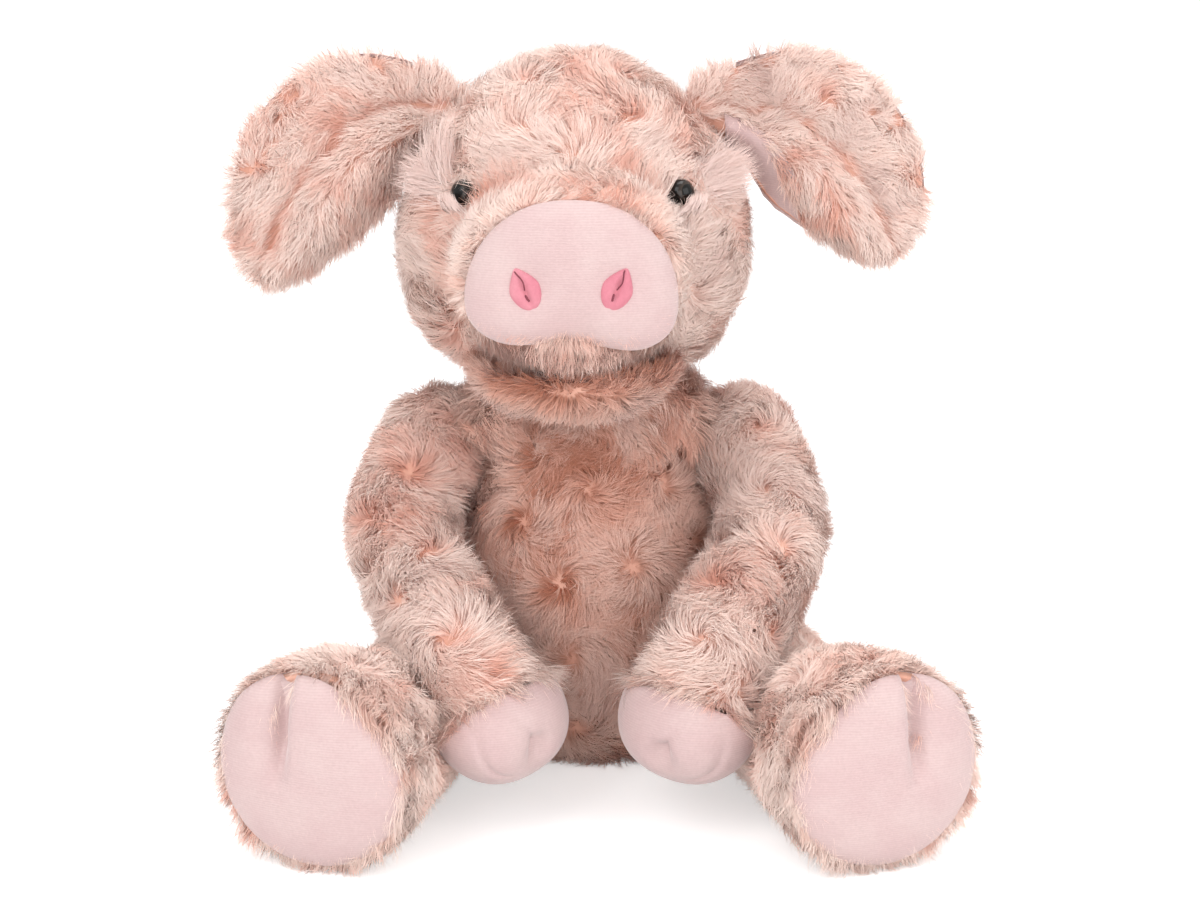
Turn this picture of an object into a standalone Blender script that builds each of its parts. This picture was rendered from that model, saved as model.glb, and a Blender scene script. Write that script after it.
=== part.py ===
"""Seated plush pig: stuffed fur covers, velour snout, ears, hoof caps and soles, with seams that swing.

Lengths are metres and +Z is up. The origin is the middle of the flat seat under the torso. The pig faces -Y,
so its own left is +X. The solids follow the body of the pile, and the loose tips of the fur are left out.
"""

import math

import bmesh
import bpy
from mathutils import Matrix, Vector

# Fits: the gap between touching pieces, the wider gap round a ball that turns in its socket, the thickness of
# a fur cover, the flat where a form rests on the floor, and how far a cutter runs past what it cuts
GAP = 0.0003
RUNNING_GAP = 0.0009
COVER = 0.0025
FLOOR_CUT = 0.0005
OVERRUN = 0.02

# The pig's own left and right
SIDES = ("l", "r")

# Torso: a pear that leans forward towards its neck and slumps a little to the pig's right
TORSO_SLUMP = -0.005
TORSO_HEIGHT = 0.160
TORSO_WIDTH = 0.146
TORSO_DEPTH = 0.140
# Each row: share of the height, then of the half width and half depth, then forward lean as one of the depth
TORSO_SECTION_SHARES = (
    (0.00, 0.76, 0.78, 0.010),
    (0.03, 0.86, 0.87, 0.010),
    (0.10, 0.94, 0.95, 0.012),
    (0.22, 0.99, 0.99, 0.015),
    (0.34, 1.00, 1.00, 0.020),
    (0.48, 0.94, 0.97, 0.025),
    (0.62, 0.82, 0.87, 0.035),
    (0.76, 0.65, 0.72, 0.050),
    (0.88, 0.56, 0.59, 0.060),
    (1.00, 0.45, 0.47, 0.070),
)
TORSO_FACETS = 20

# Bag of plastic beads that weighs the seat down, as shares of the torso
BAG_WIDTH_SHARE = 0.48
BAG_DEPTH_SHARE = 0.40
BAG_BACK_SHARE = 0.21
BAG_WIDTH = TORSO_WIDTH * BAG_WIDTH_SHARE
BAG_DEPTH = TORSO_DEPTH * BAG_DEPTH_SHARE
BAG_HEIGHT = 0.032
BAG_BACK = TORSO_DEPTH * BAG_BACK_SHARE
BAG_OPENING_RADIUS = 0.014

# Neck: the filling is packed into a ball that the head turns and nods on
NECK_RADIUS = 0.045
NECK_BELOW_TOP = 0.030
NECK_HOLE_RADIUS = 0.018
NECK_STEM = 0.012

# Head: a broad egg, slumped a little to the pig's right
HEAD_WIDTH = 0.144
HEAD_DEPTH = 0.134
HEAD_HEIGHT = 0.142
HEAD_SINK = 0.006
HEAD_SHIFT = -0.0095
HEAD_FORWARD = 0.018
HEAD_CHEEK_SHARE = 0.14
HEAD_RINGS = 11
HEAD_FACETS = 20

# Muzzle: a sleeve that carries the snout pad
MUZZLE_RISE = -0.005
MUZZLE_ROOT_DEPTH = 0.030
MUZZLE_LENGTH = 0.029
MUZZLE_ROOT_WIDTH = 0.094
MUZZLE_ROOT_HEIGHT = 0.074
MUZZLE_END_WIDTH = 0.080
MUZZLE_END_HEIGHT = 0.055
MUZZLE_SWELL_SHARES = ((0.0, 0.0), (0.45, 0.15), (0.75, 0.40), (0.92, 0.72), (1.0, 1.0))
MUZZLE_FACETS = 20

# Snout pad: a crowned bean with a notch below and a dip above
SNOUT_WIDTH = 0.081
SNOUT_HEIGHT = 0.060
SNOUT_CROWN = 0.012
SNOUT_PROFILE_SHARES = ((0.94, 0.0), (1.0, 0.20), (0.97, 0.45), (0.86, 0.70), (0.62, 0.89), (0.32, 0.98))
SNOUT_NOTCH_SHARE = 0.20
SNOUT_DIP_SHARE = 0.025
SNOUT_NOTCH_DEG = 24.0
SNOUT_LOW_SHARE = 0.27
SNOUT_SQUARENESS = 2.7

# Nostril: a teardrop of stronger pink let into the pad
NOSTRIL_WIDTH = 0.0115
NOSTRIL_HEIGHT = 0.0165
NOSTRIL_SPACING = 0.034
NOSTRIL_DROP = 0.003
NOSTRIL_TILT_DEG = 22.0
NOSTRIL_SUNK = 0.003
NOSTRIL_PROUD = 0.0006
NOSTRIL_FACETS = 14

# Lower jaw and the lining that shows in the open mouth
JAW_WIDTH = 0.086
JAW_DEPTH = 0.068
JAW_HEIGHT = 0.038
JAW_FORWARD = 0.054
JAW_TOP_SHARE = 0.06
MOUTH_SHARE = 0.155
MOUTH_HEIGHT = HEAD_HEIGHT * MOUTH_SHARE
LINING_THICKNESS = 0.0012
LINING_WIDTH = 0.056
LINING_DEPTH = 0.034

# Safety eyes, each with a shank through the cover and a washer that locks it
EYE_SPACING = 0.088
EYE_RISE = 0.019
EYE_RADIUS = 0.0055
EYE_DOME = 0.0046
EYE_SEAT = 0.0006
SHANK_RADIUS = 0.0016
SHANK_LENGTH = 0.011
SHANK_CLEARANCE = 0.0003
WASHER_RADIUS = 0.0055
WASHER_THICKNESS = 0.0012
WASHER_SEAT = 0.0034
EYE_FACETS = 12

# Tuft of long pile between eye and ear
TUFT_LENGTH = 0.036
TUFT_WIDTH = 0.024
TUFT_THICKNESS = 0.009
TUFT_OUT = 0.0575
TUFT_RISE = 0.024
TUFT_LEAN_DEG = 35.0

# Ear: an arched leaf that leaves the head sideways and hangs
EAR_ROOT_OUT = 0.060
EAR_ROOT_RISE = 0.046
EAR_ROOT_BACK = 0.006
EAR_ROOT_RADIUS = 0.016
EAR_REACH = {"l": 0.070, "r": 0.068}
EAR_BEND = {"l": 0.048, "r": 0.042}
EAR_HANG = {"l": 0.059, "r": 0.069}
EAR_CREST = 0.004
EAR_FORWARD = 0.022
EAR_THICKNESS = 0.0085
EAR_ARCH = 0.010
EAR_WIDTH = 0.064
# Each row: share of the way to the tip, then of the half width, then of the arch
EAR_OUTLINE_SHARES = (
    (0.00, 0.47, 0.00),
    (0.12, 0.66, 0.25),
    (0.26, 0.86, 0.60),
    (0.42, 0.98, 0.90),
    (0.58, 1.00, 1.00),
    (0.73, 0.90, 0.95),
    (0.86, 0.70, 0.70),
    (0.95, 0.42, 0.40),
)
EAR_FACETS = 12
EAR_LINING_THICKNESS = 0.0018

# Arm: from the shoulder over the thigh to a hand between the legs
SHOULDER_RADIUS = 0.025
SHOULDER_DROP = 0.032
SHOULDER_FORWARD = 0.003
SHOULDER_SEAT = 0.0056
ELBOW_OUT = 0.012
ELBOW_FORWARD = 0.042
ELBOW_DROP = 0.026
ELBOW_RADIUS = 0.0225
WRIST_IN = 0.022
WRIST_FORWARD = 0.054
WRIST_DROP = 0.029
WRIST_RADIUS = 0.0235
CUFF_IN = {"l": 0.014, "r": 0.020}
CUFF_FORWARD = 0.018
CUFF_DROP = 0.026
CUFF_WIDTH = 0.056
CUFF_HEIGHT = 0.048
ARM_FACETS = 16
ARM_POINTS_PER_SPAN = 3

# Hand: a velour hoof cap on the cuff
HAND_WIDTH = 0.060
HAND_HEIGHT = 0.047
HAND_LENGTH = 0.026
HAND_PROFILE_SHARES = ((0.90, 0.0), (1.0, 0.22), (0.97, 0.48), (0.82, 0.74), (0.50, 0.93))

# Leg: lies on the floor from the hip to the sole
HIP_RADIUS = 0.034
HIP_OUT = 0.058
HIP_FORWARD = 0.020
LEG_LENGTH = 0.152
LEG_SPLAY_DEG = {"l": 19.0, "r": 18.5}
KNEE_RADIUS = 0.029
FOOT_RADIUS = 0.0405
SOLE_RIM_RADIUS = 0.038
# Each row: share of the leg's length, then how far the radius has gone from hip to knee, then on to the foot
LEG_SWELL_SHARES = (
    (0.22, 0.55, 0.0),
    (0.45, 1.0, 0.0),
    (0.62, 1.0, 0.35),
    (0.80, 1.0, 0.85),
    (0.92, 1.0, 1.0),
)
LEG_FACETS = 20

# Sole: a crowned velour pad with a cleft between two toes, nearer its outer side
SOLE_CROWN = 0.008
SOLE_PROFILE_SHARES = ((0.95, 0.0), (1.0, 0.28), (0.95, 0.58), (0.76, 0.84), (0.42, 0.97))
SOLE_CLEFT_SHARE = 0.08
SOLE_CLEFT_DEG = 14.0
SOLE_CLEFT_OUT_DEG = 17.0
# The sole is an egg, flattened towards the other leg and fuller on its outer top, at angles from outward
SOLE_FLAT_SHARE, SOLE_FLAT_AT_DEG, SOLE_FLAT_SPREAD_DEG = 0.16, 135.0, 32.0
SOLE_FULL_SHARE, SOLE_FULL_AT_DEG, SOLE_FULL_SPREAD_DEG = 0.05, 48.0, 26.0
SOLE_FACETS = 20

# Tail: one curl of velour at the back
TAIL_HEIGHT = 0.050
TAIL_RADIUS = 0.0048
TAIL_TIP_RADIUS = 0.0026
TAIL_STEM = 0.009
TAIL_CURL_RADIUS = 0.010
TAIL_CURL_PITCH = 0.016
TAIL_CURL_TURNS = 1.25
TAIL_POINTS = 14
TAIL_FACETS = 6

BALL_RINGS = 5
SOCKET_FACETS = 24
INNER_SOCKET_FACETS = 16
INNER_FACETS = 12
INNER_BALL_RINGS = 4
INNER = (INNER_FACETS, INNER_BALL_RINGS)
WELD = 0.00004
SHARP_DEG = 40.0
FUR_COLOUR = (0.86, 0.62, 0.55)
VELOUR_COLOUR = (0.88, 0.69, 0.68)
NOSTRIL_COLOUR = (0.83, 0.36, 0.42)
LINING_COLOUR = (0.36, 0.17, 0.14)
TUFT_COLOUR = (0.92, 0.80, 0.78)
EYE_COLOUR = (0.02, 0.015, 0.012)
WASHER_COLOUR = (0.85, 0.85, 0.83)
FILLING_COLOUR = (0.93, 0.93, 0.91)
BAG_COLOUR = (0.80, 0.78, 0.74)


def way_of(side):
    """The sign of X on one side of the pig."""
    return 1 if side == "l" else -1


def clear_scene():
    for obj in list(bpy.data.objects):
        bpy.data.objects.remove(obj, do_unlink=True)


def material(name, colour, roughness):
    """A plain surface with the colour and roughness of one of the pig's materials."""
    surface = bpy.data.materials.new(name)
    surface.use_nodes = True
    shader = surface.node_tree.nodes["Principled BSDF"]
    shader.inputs["Base Color"].default_value = (*colour, 1.0)
    shader.inputs["Roughness"].default_value = roughness
    shader.inputs["Metallic"].default_value = 0.0
    return surface


def oval(middle, half_width, half_depth, facets, turn=0.0):
    """Points round a level oval, turned on by a share of the step between them."""
    angles = [2 * math.pi * (i + turn) / facets for i in range(facets)]
    return [middle + Vector((half_width * math.cos(a), half_depth * math.sin(a), 0)) for a in angles]


def loft(name, rings, start=None, end=None):
    """One closed body through rings of points, ended by a point where one is given and flat where none is.

    Its sides are triangles split the same way in every loft, so that one form nests inside another evenly.
    """
    mesh = bpy.data.meshes.new(name)
    work = bmesh.new()
    loops = [[work.verts.new(point) for point in ring] for ring in rings]
    count = len(rings[0])
    for lower, upper in zip(loops, loops[1:]):
        for i in range(count):
            j = (i + 1) % count
            work.faces.new((lower[i], lower[j], upper[j]))
            work.faces.new((lower[i], upper[j], upper[i]))
    for loop, tip in ((loops[0], start), (loops[-1], end)):
        if tip is None:
            work.faces.new(loop)
            continue
        pole = work.verts.new(tip)
        for i in range(count):
            work.faces.new((loop[i], loop[(i + 1) % count], pole))
    bmesh.ops.recalc_face_normals(work, faces=work.faces)
    work.to_mesh(mesh)
    work.free()
    obj = bpy.data.objects.new(name, mesh)
    bpy.context.collection.objects.link(obj)
    return obj


def boolean(target, cutter, operation="DIFFERENCE"):
    """Applies one exact Boolean to the target and removes the cutter."""
    modifier = target.modifiers.new(operation.lower(), "BOOLEAN")
    modifier.operation = operation
    modifier.solver = "EXACT"
    modifier.object = cutter
    bpy.context.view_layer.update()
    evaluated = target.evaluated_get(bpy.context.evaluated_depsgraph_get())
    mesh = bpy.data.meshes.new_from_object(evaluated)
    target.modifiers.clear()
    target.data = mesh
    bpy.data.objects.remove(cutter, do_unlink=True)
    return target


def cut(target, *cutters):
    for cutter in cutters:
        boolean(target, cutter)
    return target


def finish(obj, surface, pivot):
    """Welds a piece's slivers and gives it its material, smooth shading and an origin on its axis."""
    work = bmesh.new()
    work.from_mesh(obj.data)
    bmesh.ops.remove_doubles(work, verts=work.verts, dist=WELD)
    bmesh.ops.dissolve_degenerate(work, edges=work.edges, dist=WELD)
    bmesh.ops.triangulate(work, faces=work.faces)
    work.to_mesh(obj.data)
    work.free()
    obj.data.transform(Matrix.Translation(-Vector(pivot)))
    obj.location = pivot
    obj.data.materials.clear()
    obj.data.materials.append(surface)
    obj.data.shade_smooth()
    obj.data.set_sharp_from_angle(angle=math.radians(SHARP_DEG))
    return obj


def turned(name, profile, centre, axis, facets):
    """A body turned about an axis from (radius, distance along the axis) pairs that end on it or flat."""
    axis = Vector(axis).normalized()
    side = axis.orthogonal().normalized()
    other = axis.cross(side)
    centre = Vector(centre)
    ways = [2 * math.pi * i / facets for i in range(facets)]
    ways = [side * math.cos(a) + other * math.sin(a) for a in ways]
    solid = [(radius, along) for radius, along in profile if radius > 0]
    rings = [[centre + axis * along + way * radius for way in ways] for radius, along in solid]
    start = centre + axis * profile[0][1] if profile[0][0] == 0 else None
    end = centre + axis * profile[-1][1] if profile[-1][0] == 0 else None
    return loft(name, rings, start, end)


def ball(name, centre, radius, facets, half_sizes=None):
    """A sphere, or an ellipsoid when its half sizes along X, Y and Z are given."""
    sizes = Vector(half_sizes) if half_sizes else Vector((radius, radius, radius))
    rows = facets // 2
    profile = [(math.sin(math.pi * i / rows), -math.cos(math.pi * i / rows)) for i in range(rows + 1)]
    profile[0], profile[-1] = (0, -1), (0, 1)
    obj = turned(name, profile, (0, 0, 0), (0, 0, 1), facets)
    obj.data.transform(Matrix.Translation(centre) @ Matrix.Diagonal((*sizes, 1)))
    return obj


def block(name, low, high):
    """A box between two corners."""
    corners = [(low[0], low[1]), (high[0], low[1]), (high[0], high[1]), (low[0], high[1])]
    return loft(name, [[(x, y, z) for x, y in corners] for z in (low[2], high[2])])


def tube(name, points, radii, facets, round_start=BALL_RINGS, round_end=0, grow=0.0):
    """A body along points, with (half width, half height) at each, and ends rounded by so many rings."""
    points = [Vector(p) for p in points]
    tangents = [(b - a).normalized() for a, b in zip(points, points[1:])]
    between = [(a + b).normalized() for a, b in zip(tangents, tangents[1:])]
    tangents = [tangents[0], *between, tangents[-1]]
    stations = [(p, t, wide + grow, tall + grow) for p, t, (wide, tall) in zip(points, tangents, radii)]
    start = end = None
    if round_start:
        start, cap = dome(stations[0], -1, round_start)
        stations = cap[::-1] + stations
    if round_end:
        end, cap = dome(stations[-1], 1, round_end)
        stations = stations + cap
    rings = []
    for point, tangent, wide, tall in stations:
        side = tangent.cross(Vector((0, 0, 1))).normalized()
        up = side.cross(tangent)
        turns = [2 * math.pi * i / facets for i in range(facets)]
        rings.append([point + side * math.cos(a) * wide + up * math.sin(a) * tall for a in turns])
    return loft(name, rings, start, end)


def run_on(points, radii, reach):
    """Carries the end of a path on by a reach, or draws it back when the reach is negative."""
    beyond = points[-1] + (points[-1] - points[-2]).normalized() * reach
    if reach > 0:
        return points + [beyond], radii + [radii[-1]]
    return points[:-1] + [beyond], radii


def dome(station, direction, count):
    """The pole and the stations of a rounded end."""
    point, tangent, wide, tall = station
    depth = (wide + tall) / 2
    cap = []
    for i in range(1, count):
        angle = math.pi / 2 * i / count
        place = point + tangent * direction * depth * math.sin(angle)
        cap.append((place, tangent, wide * math.cos(angle), tall * math.cos(angle)))
    return point + tangent * direction * depth, cap


def smooth_path(corners, per_span):
    """Points along a Catmull-Rom curve through corners that are lists of numbers."""
    padded = [corners[0], *corners, corners[-1]]
    points = []
    for a, b, c, d in zip(padded, padded[1:], padded[2:], padded[3:]):
        for i in range(per_span):
            t = i / per_span
            weights = (-t + 2 * t**2 - t**3, 2 - 5 * t**2 + 3 * t**3, t + 4 * t**2 - 3 * t**3, t**3 - t**2)
            points.append([sum(w * v for w, v in zip(weights, values)) / 2 for values in zip(a, b, c, d)])
    return points + [list(corners[-1])]


def torso_section(height):
    """Half width, half depth and middle of the torso at a height."""
    share = height / TORSO_HEIGHT
    rows = TORSO_SECTION_SHARES
    low, high = next(pair for pair in zip(rows, rows[1:]) if share <= pair[1][0])
    t = (share - low[0]) / (high[0] - low[0])
    wide, deep, lean = (a + (b - a) * t for a, b in zip(low[1:], high[1:]))
    middle = Vector((TORSO_SLUMP * share, -TORSO_DEPTH * lean, height))
    return TORSO_WIDTH / 2 * wide, TORSO_DEPTH / 2 * deep, middle


def torso_form(name, grow=0.0, facets=TORSO_FACETS):
    rings = []
    for share, wide, deep, lean in TORSO_SECTION_SHARES:
        height = share * (TORSO_HEIGHT + 2 * grow) - grow
        middle = Vector((TORSO_SLUMP * share, -TORSO_DEPTH * lean, height))
        rings.append(oval(middle, TORSO_WIDTH / 2 * wide + grow, TORSO_DEPTH / 2 * deep + grow, facets))
    return loft(name, rings)


NECK_CENTRE = torso_section(TORSO_HEIGHT)[2] - Vector((0, 0, NECK_BELOW_TOP))
HEAD_CENTRE = Vector((HEAD_SHIFT, -HEAD_FORWARD, TORSO_HEIGHT - HEAD_SINK + HEAD_HEIGHT / 2))


def head_section(angle):
    """Half width, half depth and height above the head's centre, for an angle from the bottom pole."""
    cheek = 1 + HEAD_CHEEK_SHARE * math.cos(angle)
    half_width = HEAD_WIDTH / 2 * math.sin(angle) * cheek
    return half_width, HEAD_DEPTH / 2 * math.sin(angle), -HEAD_HEIGHT / 2 * math.cos(angle)


def head_form(name, grow=0.0, facets=HEAD_FACETS):
    rings = []
    for i in range(1, HEAD_RINGS):
        angle = math.pi * i / HEAD_RINGS
        half_width, half_depth, rise = head_section(angle)
        wide, deep = half_width + grow * math.sin(angle), half_depth + grow * math.sin(angle)
        middle = HEAD_CENTRE + Vector((0, 0, rise - grow * math.cos(angle)))
        rings.append(oval(middle, wide, deep, facets, 0.5))
    pole = Vector((0, 0, HEAD_HEIGHT / 2 + grow))
    return loft(name, rings, HEAD_CENTRE - pole, HEAD_CENTRE + pole)


def on_head(out, rise):
    """A point on the front of the head, so far out and up from its middle, and the way out of it."""
    half_width, half_depth, _ = head_section(math.acos(-rise / (HEAD_HEIGHT / 2)))
    back = -half_depth * math.sqrt(1 - (out / half_width) ** 2)
    place = Vector((out, back, rise))
    sizes = (HEAD_WIDTH / 2, HEAD_DEPTH / 2, HEAD_HEIGHT / 2)
    normal = Vector([value / size**2 for value, size in zip(place, sizes)]).normalized()
    return HEAD_CENTRE + place, normal


def ear_root(side):
    out = Vector((way_of(side) * EAR_ROOT_OUT, EAR_ROOT_BACK, EAR_ROOT_RISE))
    return HEAD_CENTRE + out


def ear_slot(name, side, grow=0.0):
    """The slit in the head that the root of an ear turns in."""
    radius = EAR_ROOT_RADIUS + RUNNING_GAP + grow
    reach = EAR_THICKNESS / 2 + GAP + grow
    return turned(name, ((radius, -reach), (radius, reach)), ear_root(side), (0, 1, 0), SOCKET_FACETS)


def ear_station(side, t):
    """The middle of the ear, the way along it and the way across it, at a share of the way to the tip."""
    root = ear_root(side)
    way = way_of(side)
    bend = root + Vector((way * EAR_BEND[side], -EAR_FORWARD / 2, EAR_CREST))
    tip = root + Vector((way * EAR_REACH[side], -EAR_FORWARD, -EAR_HANG[side]))
    point = root * (1 - t) ** 2 + bend * 2 * t * (1 - t) + tip * t**2
    along = (bend - root) * (1 - t) + (tip - bend) * t
    along.y = 0
    along.normalize()
    across = along.cross(Vector((0, 1, 0))) * way
    return point, along, across


def ear_rings(side, section):
    """Rings of an ear or its lining, from the rounded root to near the tip."""
    rings = []
    half = EAR_WIDTH / 2
    root, along, across = ear_station(side, 0)
    for i in range(1, BALL_RINGS):
        angle = math.pi / 2 * i / BALL_RINGS
        middle = root - along * EAR_ROOT_RADIUS * math.cos(angle)
        rings.append(section(middle, across, EAR_ROOT_RADIUS * math.sin(angle), 0))
    for share, wide, arch in EAR_OUTLINE_SHARES:
        point, along, across = ear_station(side, share)
        rings.append(section(point, across, max(half * wide, EAR_ROOT_RADIUS), EAR_ARCH * arch))
    return rings


def ear_section(middle, across, half, arch):
    """The outline across the fur side of an ear: a crescent that bows forward."""
    ring = []
    for i in range(EAR_FACETS):
        angle = 2 * math.pi * i / EAR_FACETS
        bow = EAR_THICKNESS / 2 * math.sin(angle) + arch * math.sin(angle) ** 2
        ring.append(middle + across * half * math.cos(angle) - Vector((0, bow, 0)))
    return ring


def lining_section(middle, across, half, arch):
    """The outline across the velour side of an ear, which follows the back of the fur side."""
    front, back = [], []
    for i in range(EAR_FACETS // 2 + 1, EAR_FACETS):
        angle = 2 * math.pi * i / EAR_FACETS
        bow = EAR_THICKNESS / 2 * math.sin(angle) + arch * math.sin(angle) ** 2
        place = middle + across * half * math.cos(angle)
        front.append(place - Vector((0, bow - GAP, 0)))
        back.append(place - Vector((0, bow - GAP - EAR_LINING_THICKNESS, 0)))
    return front + back[::-1]


def arm_corners(side):
    """Shoulder, elbow, wrist and cuff, each as a place with its half width and half height."""
    way = way_of(side)
    half_width, _, middle = torso_section(TORSO_HEIGHT - SHOULDER_DROP)
    shoulder = middle + Vector((way * (half_width + SHOULDER_RADIUS - SHOULDER_SEAT), -SHOULDER_FORWARD, 0))
    elbow = shoulder + Vector((way * ELBOW_OUT, -ELBOW_FORWARD, -ELBOW_DROP))
    wrist = elbow + Vector((-way * WRIST_IN, -WRIST_FORWARD, -WRIST_DROP))
    cuff = wrist + Vector((-way * CUFF_IN[side], -CUFF_FORWARD, -CUFF_DROP))
    return [
        (*shoulder, SHOULDER_RADIUS, SHOULDER_RADIUS),
        (*elbow, ELBOW_RADIUS, ELBOW_RADIUS),
        (*wrist, WRIST_RADIUS, WRIST_RADIUS),
        (*cuff, CUFF_WIDTH / 2, CUFF_HEIGHT / 2),
    ]


def arm_form(name, side, grow=0.0, reach=0.0, facets=ARM_FACETS, ball_rings=BALL_RINGS):
    """An arm from its shoulder ball to its cuff, run on past the cuff by a reach."""
    stations = smooth_path(arm_corners(side), ARM_POINTS_PER_SPAN)
    points, radii = [Vector(s[:3]) for s in stations], [s[3:] for s in stations]
    return tube(name, *run_on(points, radii, reach), facets, ball_rings, grow=grow)


def leg_axis(side):
    """The hip's centre and the way that the leg points."""
    splay = math.radians(LEG_SPLAY_DEG[side])
    hip = Vector((way_of(side) * HIP_OUT, -HIP_FORWARD, HIP_RADIUS - FLOOR_CUT))
    return hip, Vector((way_of(side) * math.sin(splay), -math.cos(splay), 0))


def leg_form(name, side, grow=0.0, reach=0.0, facets=LEG_FACETS, ball_rings=BALL_RINGS):
    """A leg from its hip ball to its sole, with its underside level, run on past the sole by a reach."""
    hip, along = leg_axis(side)
    stations = [(0, HIP_RADIUS)]
    for share, to_knee, to_foot in LEG_SWELL_SHARES:
        radius = HIP_RADIUS + (KNEE_RADIUS - HIP_RADIUS) * to_knee + (FOOT_RADIUS - KNEE_RADIUS) * to_foot
        stations.append((LEG_LENGTH * share, radius))
    points = [hip + along * distance + Vector((0, 0, radius - HIP_RADIUS)) for distance, radius in stations]
    points.append(hip + along * LEG_LENGTH + Vector((0, 0, FOOT_RADIUS - HIP_RADIUS)))
    radii = [(radius, radius) for _, radius in stations] + [(SOLE_RIM_RADIUS, SOLE_RIM_RADIUS)]
    return tube(name, *run_on(points, radii, reach), facets, ball_rings, grow=grow)


def below_floor(name, floor=0.0):
    size = TORSO_WIDTH + TORSO_DEPTH + LEG_LENGTH
    return block(name, (-size, -size, floor - OVERRUN), (size, size, floor))


def tail_root():
    _, half_depth, middle = torso_section(TAIL_HEIGHT)
    return middle + Vector((0, half_depth, 0))


def limb_sockets(name, extra):
    """Cutters for the sockets in the torso that the balls of the legs, arms and tail turn in."""
    cutters = [ball(name, tail_root(), TAIL_RADIUS + RUNNING_GAP + extra, EYE_FACETS)]
    detail = INNER if extra else ()
    for side in SIDES:
        cutters.append(arm_form(name, side, RUNNING_GAP + extra, 0.0, *detail))
        cutters.append(leg_form(name, side, RUNNING_GAP + extra, OVERRUN, *detail))
    return cutters


def neck_hole(name, depth):
    below = NECK_BELOW_TOP - depth
    profile = ((NECK_HOLE_RADIUS, below), (NECK_HOLE_RADIUS, NECK_BELOW_TOP + OVERRUN))
    return turned(name, profile, NECK_CENTRE, (0, 0, 1), SOCKET_FACETS)


def build_torso(fur, filling, bag):
    cavity = cut(torso_form("cavity", -COVER, INNER_SOCKET_FACETS), *limb_sockets("socket", COVER))
    cover = cut(torso_form("torso_cover"), *limb_sockets("socket", 0.0), cavity)
    finish(cut(cover, neck_hole("hole", COVER + GAP)), fur, (0, 0, 0))

    bag_centre = Vector((0, BAG_BACK, COVER + 2 * GAP + BAG_HEIGHT / 2))
    bag_sizes = Vector((BAG_WIDTH, BAG_DEPTH, BAG_HEIGHT)) / 2
    roomy = bag_sizes + Vector((GAP, GAP, GAP))
    stuffing = torso_form("torso_stuffing", -COVER - GAP, INNER_SOCKET_FACETS)
    cut(stuffing, *limb_sockets("socket", COVER + GAP), neck_hole("hole", NECK_STEM + GAP))
    profile = ((BAG_OPENING_RADIUS, -BAG_HEIGHT), (BAG_OPENING_RADIUS, 0))
    under = turned("under", profile, bag_centre, (0, 0, 1), INNER_FACETS)
    cut(stuffing, ball("room", bag_centre, 0, INNER_FACETS, roomy), under)
    finish(stuffing, filling, (0, 0, 0))
    finish(ball("seat_bead_bag", bag_centre, 0, INNER_FACETS, bag_sizes), bag, (0, 0, 0))


def build_neck(filling):
    """The firm wad in the neck: a stem in the torso's opening under a cap that the head rides on."""
    stem = NECK_HOLE_RADIUS - GAP
    rim = NECK_BELOW_TOP + GAP
    low = math.asin(rim / NECK_RADIUS)
    profile = [(stem, NECK_BELOW_TOP - NECK_STEM), (stem, rim)]
    for i in range(BALL_RINGS + 1):
        angle = low + (math.pi / 2 - low) * i / (BALL_RINGS + 1)
        profile.append((NECK_RADIUS * math.cos(angle), NECK_RADIUS * math.sin(angle)))
    profile.append((0, NECK_RADIUS))
    finish(turned("neck_wad", profile, NECK_CENTRE, (0, 0, 1), SOCKET_FACETS), filling, NECK_CENTRE)


def eye_hole(name, side, radius, depth):
    place, normal = on_head(way_of(side) * EYE_SPACING / 2, EYE_RISE)
    return turned(name, ((radius, -depth), (radius, OVERRUN)), place, normal, EYE_FACETS)


def neck_socket(extra):
    facets = INNER_SOCKET_FACETS if extra else SOCKET_FACETS
    return ball("socket", NECK_CENTRE, NECK_RADIUS + RUNNING_GAP + extra, facets)


def build_head(fur, filling):
    shank_hole = SHANK_RADIUS + SHANK_CLEARANCE
    washer_room = WASHER_RADIUS + GAP
    cavity = head_form("cavity", -COVER, INNER_SOCKET_FACETS)
    cut(cavity, neck_socket(COVER), *[ear_slot("slot", s, COVER) for s in SIDES])
    cover = cut(head_form("head_cover"), neck_socket(0.0), *[ear_slot("slot", s) for s in SIDES], cavity)
    profile = ((NECK_HOLE_RADIUS, 0), (NECK_HOLE_RADIUS, NECK_RADIUS + OVERRUN))
    through = turned("through", profile, NECK_CENTRE, (0, 0, 1), HEAD_FACETS)
    cut(cover, through, *[eye_hole("hole", s, shank_hole, SHANK_LENGTH) for s in SIDES])
    finish(cover, fur, NECK_CENTRE)

    stuffing = cut(head_form("head_stuffing", -COVER - GAP, INNER_SOCKET_FACETS), neck_socket(COVER + GAP))
    cut(stuffing, *[ear_slot("slot", s, COVER + GAP) for s in SIDES])
    cut(stuffing, *[eye_hole("hole", s, washer_room, SHANK_LENGTH + GAP) for s in SIDES])
    finish(stuffing, filling, NECK_CENTRE)


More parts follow.
